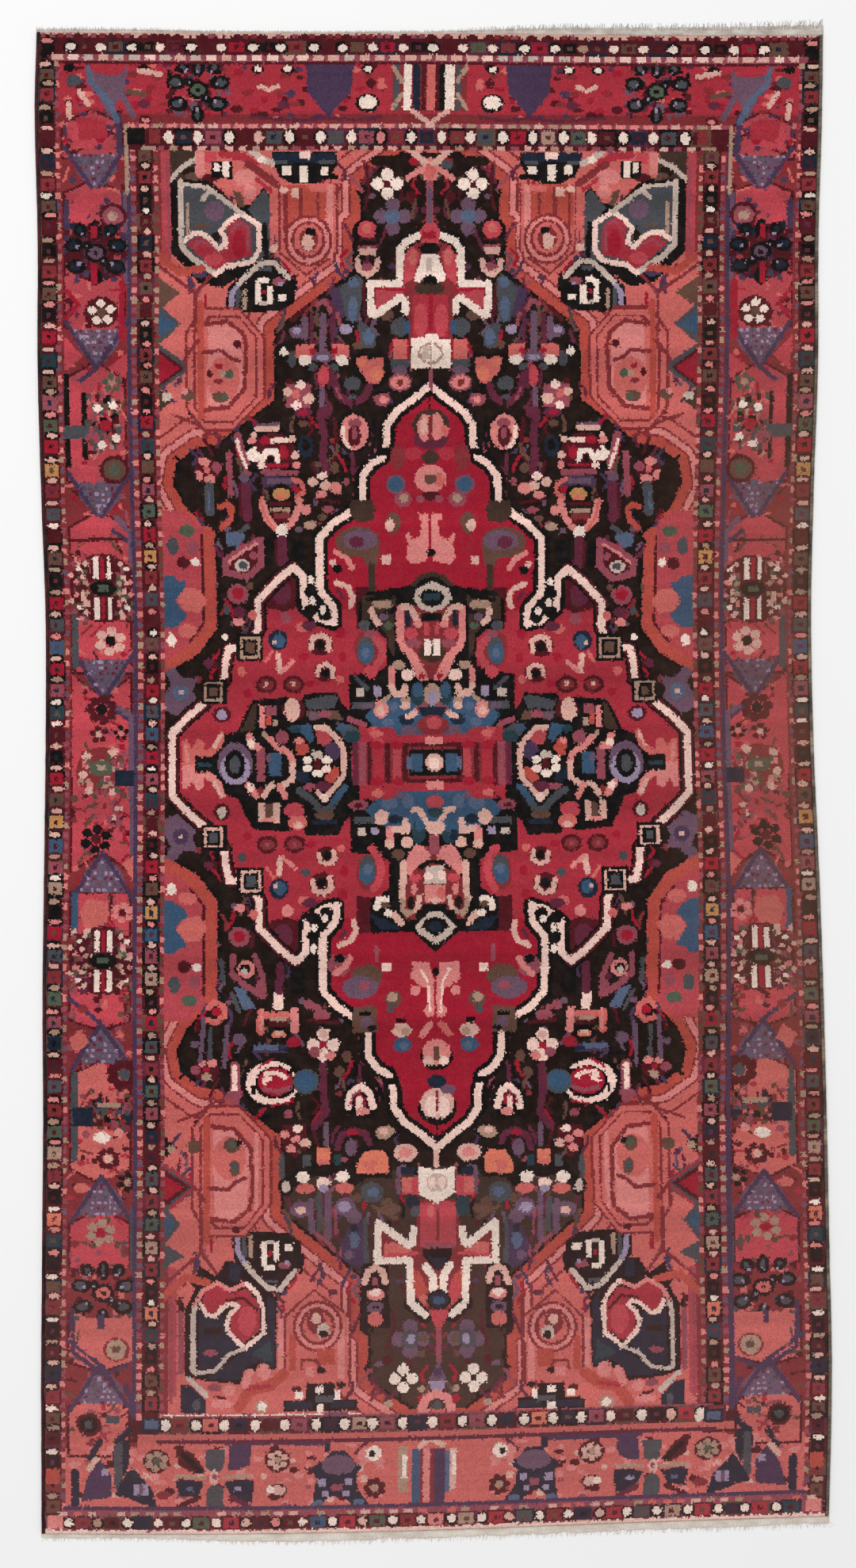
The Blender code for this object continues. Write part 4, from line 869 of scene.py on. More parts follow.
    -5.2 -16 -4.4 -14.4 oval madder -3.3 -19.5 1.3 0.9 oval pink -3.6 -21.8 0.7 1.2 line blush 1.4 -5.7
    -16.6 -6 -24 line tan 1.1 -6 -24 -5.8 -25.9 -4.9 -26.8 -3.4 -26 line blush 1.1 -3 -26.2 -2.5 -23.4 oval
    brown -4.2 -24.6 0.8 1.4 line rose 0.9 -11.3 -31 -11.3 -36 @one oval softRed 1 -4.2 1.8 1.3 oval teal 1
    -6.3 1.7 0.9 oval blush 1 -9.4 2 1.4 oval blue 4.7 -9.6 1.3 1.8 block rose 0.8 -12.8 2 4 line black 1
    -2.4 -17.6 -0.6 -16.4 2 -16.4 3.8 -17.6 patch ash -0.9 -17.2 2.5 -17.2 3 -19 3 -20.8 -1.4 -20.8 -1.4 -19
    oval shell -0.6 -19.2 0.8 0.9 2.1 -19 0.8 1 block pink 0.7 -22.8 4 3.4 oval coral 2 -22.6 0.9 1.2 oval
    blush 0.7 -24.2 1.4 0.6 block black 0.6 -25.8 5 1.6 patch crimson -15.4 -30.6 17 -30.6 17 -33 5 -33.4 1
    -35.8 -4 -33.4 -15.4 -33 patch black 0.7 -34.6 -4 -30.4 -3 -26 4.6 -26 5.6 -30.4 patch ash 0.7 -33 -2.6
    -31 -3.5 -29.4 -0.4 -26.4 1.8 -26.4 4.9 -29.4 4 -31 patch black 0.7 -31.6 -2.2 -29.5 -1.2 -28 0.7 -27.4
    2.6 -28 3.6 -29.5 oval navy 4.8 -11 1 1.2 0.7 -29.4 1.2 1.2""",
    "centre": """
    @one block brick 1 3.75 33 8 @pair block maroon -5 3.75 1.2 8.6 block softRed -6.6 3.75 1.6 8.6 block
    maroon -8.6 3.75 1.2 8.6 block red -10.6 3.75 2 8.6 block maroon -12.4 3.75 1 8.6 block rose -13.8 3.75
    1.4 8.6 block wine -15.4 3.75 1.2 8.6 block black -16.6 3.75 1 8.6 @one block red 1 8.7 21 1.6 1 -1.2 21
    1.6 block maroon 1 7.4 15 0.8 block pink 1 8.3 3.8 1.5 @pair oval crimson -6.8 7.4 1.4 0.9 -11 7.4 1.4
    0.9 @one block maroon 1 0.1 15 0.8 block pink 1 -0.8 3.8 1.5 @pair oval crimson -6.8 0.1 1.4 0.9 -11 0.1
    1.4 0.9 @one block black 1 3.75 10.6 5.4 block blue -2.6 3.75 2.4 3.6 4.6 3.75 2.4 3.6 block greyBlue
    -4.22 3.75 1 2.6 6.22 3.75 1 2.6 oval blush 1 3.75 1.9 1.8 block shell 1 3.75 2 2.2 @pair oval red -9.2
    9.8 2.4 1.3 -9.2 -2.3 2.4 1.3 oval coral -10.8 9.8 1.2 0.8 -10.8 -2.3 1.2 0.8""",
    "medallionSmall": """
    @all oval maroon -33.6 19.9 2.2 1.8 -28 19.9 2.2 1.8 oval brick -33.6 19.9 1.5 1.1 -28 19.9 1.5 1.1
    block blush/rose -33.6 19.9 0.9 0.8 -28 19.9 0.9 0.8 oval navy -31.2 28.9 2 2.1 oval blue -31 28.7 1.3
    1.4 block blush -32 28.4 0.9 0.9 line blush 1.2 -31.2 25.8 -30.8 22.6 line pink 0.9 -30.4 22.6 -28 24.6
    line coral 0.7 -33.8 24.6 -32.4 26.6 ringBud blush,black -22.4 28 2.6 -21.4 22.4 2.2 oval coral/coral
    -26 31.4 1.4 1 oval crimson -18.2 30.2 1 1.2 -17.8 25.4 0.8 1.1 line blush 1.2 -18.9 40.4 -16.4 39.4
    -15.6 37.4 -16 35.8 line wine 0.8 -18.6 38.8 -17.6 37.4 oval coral -36.4 34 0.9 1 -18.4 20.8 0.9 0.8
    oval rose/pink -29.6 33.4 1.2 1.2 oval wine -24.8 31.8 1.6 1 oval coral/slate -38.8 22.6 0.9 1 oval
    crimson/slate -25.8 25.6 1 0.9 oval crimson -24.6 20 1 0.7 -37.6 18.2 0.9 0.8""",
    "pendant": """
    @pair patch brick -2.2 110.4 -5.4 108.6 -5.4 100.9 -11.4 100.9 -11.4 94.6 -5.4 98 -4.4 97 -3.6 89.6 0.6
    89.6 0.6 111 patch softRed -10.6 100 -4.4 100 -5.2 98.8 -10.6 95.6 line crimson 0.6 -10.4 99.8 -4.2 99.5
    patch madder -4.8 107.6 -3.4 108.8 -1.6 107 -2.8 102 -4.8 100.6 oval coral -3 106.2 0.9 1.6 oval slate
    -5.6 92 2 1.9 block blue -4.2 92 1 2.6 block coral -5.4 87.6 3 3.8 block crimson -3.8 87.4 0.6 4 block
    slate -5.6 84.8 3.6 1.6 oval mauve -5.6 83.3 1.8 0.8 oval rose -5.6 80.8 2.3 1.8 oval pink -5.6 80.8 1.9
    1.4 oval brick -5.6 80.8 0.7 0.7 line maroon 0.7 -13 100.4 -12.8 94.4 line black 3 -2 110.8 -4.4 109.4
    -5.6 107.8 line cream 1.5 -1.8 110.6 -4.4 109.3 -5.6 107.8 -5.7 100.9 -11.7 100.8 -11.4 94.6 -10.8 94.4
    -5.6 98 -4.6 97 -4.5 95.2 @one patch madder -0.6 113 1.6 113 2.5 111.6 2.3 109.2 -1.4 109.2 -1.6 111.4
    oval black 0.4 107.9 2 1.3 patch cream -1.4 106.8 2 106.8 2.6 105 3.7 102.4 3.4 101.2 2.2 101.2 0.8
    102.6 -0.6 102.2 -1.6 101 -2.8 101.4 -2.4 103 -1.6 105 block ash 0.4 104.6 1.1 2.8 oval earth 0.5 99.9
    3.1 1.4 patch black -0.8 101.9 0.6 102.7 1.9 101.7 2 100.8 -1 100.7 block red 0.6 94.3 7.2 8.4 oval
    madder -1.4 93.4 1.4 3.4 2.8 93.4 1.4 3.4 block crimson 0.4 110.7 2.8 1.4 0.7 95 1 7.4 patch cream -3.3
    89.7 -0.8 89.7 -0.2 90.6 2 90.6 2.4 89.5 4.7 89.5 4.7 83.5 -3.3 83.5 line tan 0.5 0.4 88.8 -1.5 87.8
    -1.8 86.2 -0.6 85 0.7 84.6 2.1 85 3 86.2 2.8 87.6 1.4 88.6 block ash -0.5 86.9 1.4 2.4 block tan 0.7 86
    0.5 4.6 line rose 0.9 0.8 83.2 0.8 79.6 @pair patch brick -2 -108 -4.6 -105.6 -4.8 -96.2 -11 -96.2 -11
    -89.6 -5.6 -93.6 -4.2 -93 -3.4 -84.6 0.6 -84.6 0.6 -109 patch terracotta -4.4 -98.4 -3 -99.6 -1.6 -103
    -1.6 -106.6 -3.6 -106 -4.4 -105 oval coral -2.6 -105 0.9 1.2 patch coral -10.4 -93.4 -8.4 -93.2 -4.8
    -94.8 -4.6 -95.6 -10.4 -95.6 line madder 0.7 -10.2 -95.9 -3.8 -95.5 block navy -5.4 -78.8 3.4 1.5 block
    black -3.8 -78.8 0.8 1.7 block madder -5 -81.8 3.4 3.8 block coral -5.8 -81.6 2 3 line mauve 0.7 -7.4
    -78 -7.4 -83.2 oval navy -4.5 -85.2 1.4 1.4 oval slate -4 -87 1.1 1.1 oval blush -6 -75.1 2.4 1.8 oval
    pink -6 -75.1 1.4 1 line black 3 -2.2 -108.2 -5 -105.6 line cream 1.5 -2.2 -108 -5 -105.5 -5.2 -97 -11.7
    -96.9 -11.6 -89.2 -5.6 -93.7 -4.7 -93.4 -4.4 -90.6 @one block softRed 0.6 -89.8 7.2 8.8 oval madder 3.8
    -103.2 1 2.6 -1.4 -87.4 1.6 2.2 2.4 -87.4 1.7 2.4 oval coral -1 -87 0.8 1.1 block brick 0.5 -90 0.6 7.4
    block rose 0.8 -94 6 0.9 block black 0.5 -95.4 5.8 1.5 patch black -2.4 -96 3.4 -96 2.6 -97.4 0.5 -99.2
    -1.4 -97.4 patch navy -1.4 -96.6 2.6 -96.6 0.6 -98.9 line cream 1.6 -2 -98.2 -0.6 -100.2 -0.5 -103, 1.6
    3 -98 1.6 -100 1.5 -103 oval black 0.6 -105 2.5 2 oval navy 0.6 -105 2 1.5 oval blue 0.6 -105.1 1.3 0.8
    patch madder -1.4 -107.2 2.6 -107.2 1.8 -109.6 0.6 -111.6 -0.6 -109.6 patch cream -3.3 -78 0 -78.6 1.2
    -78.6 3.8 -78 3.8 -83.4 2 -84.8 0.4 -85.5 -1.2 -84.8 -3.3 -83.6 oval ash 0.4 -81.3 2.2 1.9 oval shell
    -0.6 -81.2 0.8 1.2 1.4 -81.2 0.8 1.2 line blush 1.1 0.4 -74.8 0.4 -77.8 oval teal 5.6 -86 1.5 2""",
    "sideBorder": """
    @pair line purple 1.2 -62.6 135 -62.4 127.5, 1 -73.4 117.4 -73.4 109, 0.9 -73.2 -106 -73 -115 -66.6
    -119.6 -62 -117.4, 1 -62.4 -121.6 -60.9 -126 -60.9 -129.8 -64 -132.6 line mauve 0.8 -61.6 119 -61.6 101,
    1.1 -64 53.4 -61.4 50.6 -61.4 45, 1.1 -66.8 16.6 -61.8 13.6 -61.4 -14 line crimson 1.3 -62.2 101 -62.2
    90 line black 1.2 -73.7 82 -73.7 64, 1 -70 78.4 -70 65.6 line slate 1.4 -73.3 33.4 -73.3 23.6, 1.3 -72.9
    -59 -72.9 -76, 0.9 -61.2 -86 -61.2 -98 line blue 1.3 -73 -22.6 -73 -30 patch madder -71.4 128 -72.4
    131.4 -69 134.2 -65.2 133 -65.2 129.2 -68.4 128.4, -72.6 111.2 -72.8 116.6 -69.6 119.6 -66 120.2 -65.8
    117.6 -68.4 115.6 -70.6 111.4, -74 90.2 -70.2 86.2 -73.8 82.8, -60.9 87 -65.2 83.8 -61.4 81.6, -73 81
    -70.8 81 -70.8 62 -73 66, -72.2 61 -70.6 64.2 -67.8 64 -68.2 60.4, -73.2 51 -69 54 -64.6 52.6 -65.6 50.2
    -70 50, -74 22 -71.6 19.4 -71.4 3 -74 1 eyedRing rose,tan -64 114.4 2.1 oval maroon -67.6 107 6.4 5.8
    speckle purple,maroon,softRed,wine,navy -67.6 107 12.4 11 60 rosette navy,black,mauve -67.6 107 block
    crimson -67.9 111.2 1.3 2.6 -67.9 102.8 1.3 4.4 line crimson 0.9 -73.6 99.4 -71.2 96.6 -73.6 93.8 oval
    maroon -66.4 95 3.4 3.2 star cream,umber -66.4 95 2.7 5 star green,tan -64.4 80.8 2 5 block slate -71.8
    70.8 5.6 2.8 speckle black,green,maroon,umber,rose,slate,tan,black -66.2 72.2 6.6 12.4 70 oval crimson
    -66.2 131 1.2 1.8 -65.8 72.2 1.3 1.2 eyedRing umber,green -64.2 63.2 2.3 line maroon 0.6 -73.6 49 -63
    49.2 oval madder -68.4 47.2 3.4 1.4 clawedBar cream -67.3 39.3 star blush,black -66 28.6 3.1 6 star
    maroon,black -67.8 14.8 3.2 7 star maroon,blush -68.4 9.8 1.9 5 star black,pink -63.8 10 1.7 5 oval
    brick -67.8 2.4 5.2 4.8 -71.2 -45.6 1.1 0.9 -67 -103.4 6.4 5.4 speckle umber,brick,rose,tan,green,pink
    -67.8 2 9.6 9 60 oval green -67.9 3 2.4 1.5 oval blush -71 5.4 0.9 0.8 -65.4 6.2 0.9 0.8 -70.4 -1.6 0.9
    0.8 -65.6 -1.8 0.9 0.8 -71.6 1.6 0.9 0.8 star black,maroon -68.8 -11.4 3.1 6 speckle
    rose,maroon,brick,blush -64.2 -7.6 4 5 12 patch coral -61 -14.4 -63.4 -16.4 -60.9 -20, -72 -26 -70.4
    -23.4 -66.4 -23.8 -65.8 -27 -67.6 -29.4 -71 -29.2, -74.2 -51.8 -71.4 -49.6 -70 -52.4 -72.6 -54.8 star
    pink,maroon -63.2 -26.2 2.3 6 clawedBar cream -67.2 -35.9 speckle maroon,umber,brick -62.9 -44.6 2.2 3.6
    9 star maroon,slate -62.9 -58.9 3.4 8 speckle maroon,umber,black,slate,rose,navy,brick -65.4 -66.8 8.6 6
    80 block tan -67.9 3 1.6 1 -66 -65 5 1 block navy -63 1 3.8 3 -71.2 -67.4 4.2 3.8 oval cream -67.4 75.6
    0.9 0.8 -64.2 76.2 0.9 0.8 -66.6 68.2 0.9 0.8 -63.6 69.6 0.9 0.8 -67.4 -71.6 1.7 1.1 oval pink -64 -70.6
    1 0.9 star maroon,blush -66.2 -75.9 2.4 7 star black,tan -62.2 -80.6 2.1 6 oval coral -71.6 -81.8 1.6 1
    star tan,crimson -67.6 -90.8 2.9 6 speckle slate,umber,brick -63.2 -94 2.6 3 9 speckle
    coral,brick,slate,maroon -67 -103.4 12 10.4 40 rosette slate,black,coral -67 -103 patch coral -71.8 -108
    -60.9 -108 -60.9 -116.6 -66 -118 -71.8 -114 block purple -67.4 -108.8 1.2 2.6 oval brick -64.3 -114.4
    2.6 2.4 oval tan -64.3 -114.4 2.1 2 oval umber -64.3 -114.3 0.9 0.8 eyedRing black,slate -69.8 -129.6
    1.8 block slate -65 -128.4 3 1.4""",
    "topBorder": """
    @pair speckle maroon,crimson,black,mauve,maroon -46.5 140 12 10.6 60 rosette slate,black,green -46.5 140
    oval black -34.5 144.2 1.4 0.9 -28.4 144.2 1.4 0.9 -12.2 144.2 1.4 0.9 -57.4 144.2 1.4 0.9 line blush
    0.9 -34.2 140.9 -32.2 140 -30.2 140.9, 1.1 -58.4 143.8 -54.2 143.2 oval wine -29.2 137 1.3 0.9 -57.4
    137.2 1.3 0.9 line umber 1 -60.4 139.6 -57.4 139 patch purple -24.8 145.6 -15 145.6 -15.6 139.6 -20.2
    134.6 -24.4 139.6 line wine 0.7 -20.2 134.4 -26 133.8 -36 134.6, 0.7 -20.2 134.4 -15 133.9 -9.5 134.6
    oval black -12.2 137.4 2.4 1.9 oval cream -34.5 144.3 0.8 0.6 -28.4 144.3 0.8 0.6 -12.2 144.3 0.8 0.6
    -12.2 137.5 1.8 1.4 oval maroon -11.6 141.4 1 0.9 -38.6 136.2 1.2 0.8 oval crimson -38.4 143.6 1.1 0.8
    patch mauve -67.8 144 -61.8 145 -61.8 139 -64.4 134.4 -66.2 138 line greyBlue 1.3 -68.6 145.4 -68.2
    141.6 -64.4 137.4 -62.8 133.8 line mauve 1.2 -61.4 145 -61.8 139 -59.4 134.6 patch red -69.4 146 -60.2
    146 -62.2 142.8 -67.6 143.2 line blush 1.1 -70.4 139.6 -68.6 137, 1.1 -72.6 137 -72.4 134.6 oval slate
    -71.6 141.8 1.5 1.2 oval black -72.6 144.4 1.2 0.8 patch red -71.2 134.4 -65 134 -64.8 130.4 -70.4
    129.6""",
    "bottomBorder": """
    @pair line purple 1 -42 -133.2 -22.4 -133.4 patch purple -41.4 -133.4 -37 -133.6 -37.4 -137.4 -39.4
    -138.8 -41.8 -138.6 patch maroon -52.4 -134.2 -49.4 -134.8 -46.2 -139 -48.4 -139.4 -51.8 -137.6 line
    black 1.1 -50.8 -135.6 -47.4 -138.8 patch navy -52.4 -141 -49.4 -140.6 -46.4 -141.2 -48 -144.2 -51.6
    -144, -36.6 -140.8 -39.6 -140.6 -42.6 -141.2 -41 -144.2 -36.8 -145.4, -24.8 -146.2 -24 -140.4 -25.2
    -138.6 -22.6 -137 -21 -135.2 -18 -135.2 -16 -137.6 -14.8 -138.6 -16 -140 -15.6 -143 -13.2 -146.2 -16.8
    -146.2 -18.6 -144.4 -21.4 -144.4 -23 -146.2, -64.8 -132.6 -61.8 -132.6 -61.6 -137 -62.6 -140 -65 -138
    patch slate -46.4 -134.4 -42.4 -134.4 -42.6 -138.2 -44.4 -139.8 -46.2 -138.2, -46.2 -146 -42.6 -146
    -42.8 -142.6 -44.4 -141.4 -46 -142.6 line maroon 1.1 -51.6 -146 -47.6 -144.2 line tan 0.8 -52 -139.9
    -46.4 -140.2, 0.8 -37.6 -139.9 -42.6 -140.2 block greyBlue -49.4 -142.5 1.3 1 oval blush -44.6 -140.2 1
    1.4 oval rose -44.4 -140.1 0.5 0.7 block navy -21.8 -133.9 1.3 3 oval mauve -19.6 -138 3.4 2 block lilac
    -39.8 -142.5 1.3 1 -22.8 -141.6 1.7 1.6 -17.4 -141.4 1.5 1.6 -22.2 -143.8 1.2 1.2 -18 -143.8 1.2 1.2
    block rose -19.8 -142.6 2 1.4 oval greyBlue -23.6 -145.7 1.2 0.7 -15.4 -145.5 1.2 0.7 line wine 1.1
    -37.6 -146 -41.2 -144.2, 0.8 -16 -135.6 -13.8 -133.4 oval pink -13.6 -136 2 1.6 oval cream -12.4 -135.8
    1.6 1.5 oval black -12.8 -135.9 0.7 0.7 star maroon,tan -12.2 -142.8 2.2 7 oval maroon -56.2 -136.9 2.7
    2.4 -31.8 -136.8 2.6 2.4 -31.8 -142.8 2 1.3 star tan,green -56.2 -136.9 2.3 6 star blush,tan -31.8
    -136.8 2.1 6 oval blush -31.6 -142.8 1.4 1 oval cream -33.2 -142.8 0.9 0.7 oval brick -54.8 -143.8 1.5
    0.9 line slate 1.6 -63.8 -134 -64 -142 line navy 1 -60.8 -129.8 -62.6 -131.8 -64.4 -133, 1.2 -67.6 -133
    -69.6 -136.4 patch purple -71.4 -145 -70 -140 -67.6 -136.2 -65.4 -139.6 -65.4 -144 -67 -144.8 block
    lilac -66.6 -139.2 1.3 1.4 line navy 1.5 -72.6 -139.2 -72.6 -145.6 line blush 1.2 -69.8 -138.4 -68.2
    -136.4 patch navy -64.6 -143.8 -63 -140.6 -61.2 -138 -57.2 -142.2 -56 -146.2 -59 -145.6 -62 -144.4 block
    lilac -59.3 -142.7 2.8 2.4 block mauve -59.3 -142.7 0.8 2.4 line coral 1.3 -68.8 -145.2 -63.6 -145.2""",
    "endCentreTop": """
    @one block brick 0.2 140.5 15 9.8 block cream -4.2 140.5 1.9 9.4 block navy -2.3 140.5 1.5 9.4 block
    maroon -0.9 140.5 0.9 9.4 block coral 0.5 140.5 1.7 9.4 block maroon 1.9 140.5 0.9 9.4 block black 2.8
    140.5 1.1 9.4 block cream 4.3 140.5 1.9 9.4 block slate -6.3 140.5 1.1 9.4 6.2 140.5 1.1 9.4 line tan
    0.9 -5.3 139.2 -7.1 136.4, 0.9 -5.3 141.8 -7.1 144.6, 0.9 5.9 139.2 7.7 136.4, 0.9 5.9 141.8 7.7 144.6
    line blush 1 -3.2 135.8 0.4 133.2 4 135.8""",
    "endCentreBottom": """
    @one block coral 0.2 -140.6 15 11.6 block tan -6.5 -139.2 1.8 9.4 block blue -4 -140.8 1.7 11.2 block
    brick -2.8 -140.8 0.8 11.2 block pink -1.8 -140.4 1.3 10.6 block brick -0.8 -140.8 0.8 11.2 block purple
    0.9 -140.6 2.3 11.2 block greyBlue 2.3 -139.8 0.8 8.4 block blush 3.5 -139.2 1.5 8.4 block cream -6.2
    -138.6 0.9 5 3.7 -138.2 0.9 4.6 line blush 1.1 -3.2 -134.6 -1.2 -133 1.6 -134.4""",
    "medallionGround": """
    @all oval wine -30.4 38.4 2 2.4 patch maroon -15.2 39.6 -11.4 39.2 -11.6 31 -14.8 31""",
    "medallionEdge": """
    @all block black -8.7 66.8 1.9 1.5 oval black -24.2 38.6 1.4 1.2 -22.8 36.4 1.4 1.2 -21.4 33.8 1.4 1.2
    -24.4 34.8 1.4 1.2 oval cream -24.2 41 0.7 0.9 -24 36.8 0.7 0.9 -21.8 35 0.7 0.9""",
    "guardCorners": """
    @pair line tan 0.7 -61 132.7 -61 119 block brick -55.3 130.6 2.2 2.6 block tan -56.6 128.3 3 0.7 block
    navy -57.2 -129.6 4 3 block greyBlue -57.2 -129.6 2.6 1.6 oval cream -54.3 -129.6 0.9 1.1 block pink
    -76.6 -149.2 3 2.6 block terracotta -77 -140 2.6 3 @one block black -59 130.6 3.8 3.2""",
}
shapes = {  # how each is laid, and how many numbers it takes, not counting the points of a line or patch
    "oval": (oval, 4), "block": (block, 4), "four": (fourPetals, 3), "bud": (bud, 4), "star": (star, 4),
    "ringBud": (ringBud, 3), "eyedRing": (eyedRing, 3), "clawedBar": (clawedBar, 2), "rosette": (rosette, 2),
    "speckle": (speckle, 5), "patch": (patch, 0), "line": (stroke, 1),
}


def layFigure(name):
    words = figures[name].split()
    starts = [k for k, word in enumerate(words) if word in shapes or word[0] == "@"]
    for start, stop in zip(starts, starts[1:] + [len(words)]):
        shape = words[start]
        if shape[0] == "@":
            copies = shape[1:]
            continue
        dyes = [tuple(None if one == "-" else one for one in wool.split("/"))
                for wool in words[start + 1].split(",")]
        dyes = [wool[0] if len(wool) == 1 else wool for wool in dyes]
        lay, take = shapes[shape]
        if shape in ("patch", "line"):
            for item in " ".join(words[start + 2:stop]).split(","):
                numbers = np.array(item.split(), float)
                lay(numbers[take:].reshape(-1, 2), *numbers[:take], *dyes, copies)
        else:
            for row in np.array(words[start + 2:stop], float).reshape(-1, take):
                lay(*row, *(dyes if shape != "speckle" else [dyes]), copies)


def weave():
    drawCorners()
    drawDarkGround()
    strewGround()
    for name in ("scroll", "comb", "boteh", "cornerFlowers", "palmette", "sideTriangles", "lobedFrame",
                 "sideHalfMotif", "topOfGround", "slateWings", "tulips", "pinkBud", "ringRosette", "vase",
                 "darkLobe", "waist"):
        layFigure(name)
    drawMedallionGround()
    layFigure("medallionGround")
    drawMedallionEdge()
    for name in ("medallionEdge", "medallionTip", "splitLeaf", "sideLozenge", "cartouche", "centre",
                 "medallionSmall", "pendant"):
        layFigure(name)
    drawEndBorders()
    drawSideBorder()
    layFigure("sideBorder")
    strewEnds()
    for name in ("topBorder", "bottomBorder", "endCentreTop", "endCentreBottom"):
        layFigure(name)
    drawGuards()
    layFigure("guardCorners")
    strayKnots()


weave()


print("pile charted:", knotColumns, "x", knotRows, "knots of", len(np.unique(knots)), "wools")

rugOutline = {  # metres, before the whole rug is centred; the sides wander as the loom's tension did
    "sides": ((-1.525, -0.789, 0.801), (-1.200, -0.790, 0.808), (-0.950, -0.788, 0.803),
              (-0.700, -0.786, 0.798), (-0.430, -0.787, 0.791), (-0.180, -0.784, 0.782),
              (0.070, -0.781, 0.771), (0.330, -0.781, 0.766), (0.580, -0.790, 0.771),
              (0.840, -0.797, 0.780), (1.100, -0.797, 0.781), (1.350, -0.803, 0.788),
              (1.515, -0.799, 0.790)),           # along, left side, right side
    "upperEnd": ((0.00, 1.5120, 0.006, 0.005), (0.12, 1.5105, 0.007, 0.005), (0.25, 1.5095, 0.004, 0.003),
                 (0.50, 1.5095, 0.004, 0.004), (0.64, 1.5070, 0.014, 0.008), (0.85, 1.5045, 0.018, 0.009),
                 (1.00, 1.5055, 0.022, 0.012)),  # share across, end of the pile, flat-woven depth, fringe
    "lowerEnd": ((0.00, -1.5215, 0.009, 0.008), (0.15, -1.5225, 0.010, 0.007), (0.30, -1.5210, 0.018, 0.008),
                 (0.50, -1.5140, 0.017, 0.008), (0.75, -1.4990, 0.017, 0.009), (1.00, -1.4860, 0.016, 0.009)),
    "selvedgeEnds": (-1.5215, 1.5120),
    "sideSections": 49,      # how often the solid selvedge follows the side
    "selvedgeWidth": 0.0080,
    "gap": 0.0003,
}


def smoothThrough(rows, column, at):
    # the same smooth curve through a table that the solids use, for a whole array at once
    table = np.array(rows, float)
    keys, values = table[:, 0], table[:, column]
    at = np.clip(np.asarray(at, float), keys[0], keys[-1])
    i = np.clip(np.searchsorted(keys, at, side="right") - 1, 0, len(keys) - 2)
    before = np.maximum(np.arange(len(keys)) - 1, 0)
    after = np.minimum(np.arange(len(keys)) + 1, len(keys) - 1)
    slope = (values[after] - values[before]) / (keys[after] - keys[before])
    step = keys[i + 1] - keys[i]
    share = (at - keys[i]) / step
    rise = (values[i + 1] - values[i]) * share ** 2 * (3 - 2 * share)
    bends = share * (1 - share) ** 2 * slope[i] + share ** 2 * (share - 1) * slope[i + 1]
    return values[i] + rise + bends * step


def sideX(along, side):
    return smoothThrough(rugOutline["sides"], 1 if side < 0 else 2, along)


def endValue(end, column, across):
    # column 1 is the end of the pile, 2 the depth of the flat-woven strip, 3 the reach of the fringe
    return smoothThrough(rugOutline["upperEnd" if end > 0 else "lowerEnd"], column, across)


# the solids were centred as a whole, so their own box tells how far
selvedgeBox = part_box("selvedge_left")
solidSide = sideX(np.linspace(*rugOutline["selvedgeEnds"], rugOutline["sideSections"]), -1)
shiftX = selvedgeBox[0].x - solidSide.min()
shiftY = selvedgeBox[1].y - rugOutline["selvedgeEnds"][1]


def addMesh(name, vertices, faces, materials, smooth=True):
    mesh = bpy.data.meshes.new(name)
    vertices, faces = np.asarray(vertices, np.float32), np.asarray(faces, np.int32)
    mesh.vertices.add(len(vertices))
    mesh.vertices.foreach_set("co", vertices.ravel())
    mesh.loops.add(faces.size)
    mesh.loops.foreach_set("vertex_index", faces.ravel())
    mesh.polygons.add(len(faces))
    mesh.polygons.foreach_set("loop_start", np.arange(len(faces), dtype=np.int32) * faces.shape[1])
    mesh.polygons.foreach_set("use_smooth", np.full(len(faces), smooth))
    for material in materials:
        mesh.materials.append(material)
    mesh.update(calc_edges=True)
    mesh.validate()
    item = bpy.data.objects.new(name, mesh)
    bpy.context.scene.collection.objects.link(item)
    return item


def addUv(item, name, coordinates):
    layer = item.data.uv_layers.new(name=name)
    layer.data.foreach_set("uv", np.asarray(coordinates, np.float32).ravel())


def addFaceValue(item, name, values):
    item.data.attributes.new(name, "FLOAT", "FACE").data.foreach_set("value", np.asarray(values, np.float32))


def gridFaces(rows, columns, start=0):
    # quads of a grid of rows x columns points, facing up when columns run to +X and rows to -Y
    index = start + np.arange(rows * columns).reshape(rows, columns)
    quads = np.stack((index[1:, :-1], index[1:, 1:], index[:-1, 1:], index[:-1, :-1]), axis=-1)
    return quads.reshape(-1, 4)


def closedSlab(upper):
    # a grid of top points over its own flat underside; the faces come as top, underside and rim
    rows, columns = upper.shape[:2]
    count = rows * columns
    upper = upper.reshape(-1, 3)
    index = np.arange(count).reshape(rows, columns)
    rim = np.concatenate((index[-1, :-1], index[::-1, -1][:-1], index[0, ::-1][:-1], index[:-1, 0]))
    after = np.roll(rim, -1)
    wall = np.stack((rim + count, after + count, after, rim), axis=-1)
    faces = np.concatenate((gridFaces(rows, columns), gridFaces(rows, columns, count)[:, ::-1], wall))
    return np.concatenate((upper, upper * (1, 1, 0))), faces


# the pile

pileForm = {
    "height": 0.0085,
    "rounding": 0.0030,     # how far the clipped pile leans out over its edges
    "swell": 0.00045,       # unevenness of clipping and wear
    "edgeLines": (0.0, 0.32, 1.07),  # knots from the edge, where the rounding gets its own rows
}
exportMap = {  # shares of the baked map's width and height
    "topWidth": 0.72,
    "backStart": 0.735,
    "backWidth": 0.25,
    "rim": (0.990, 0.997),
    "margin": 0.005,
    "length": 0.99,
}


def knotLines(count):
    near = np.array(pileForm["edgeLines"])
    inner = np.arange(knotting["group"], count, knotting["group"])
    return np.concatenate((near, inner, count - near[::-1]))


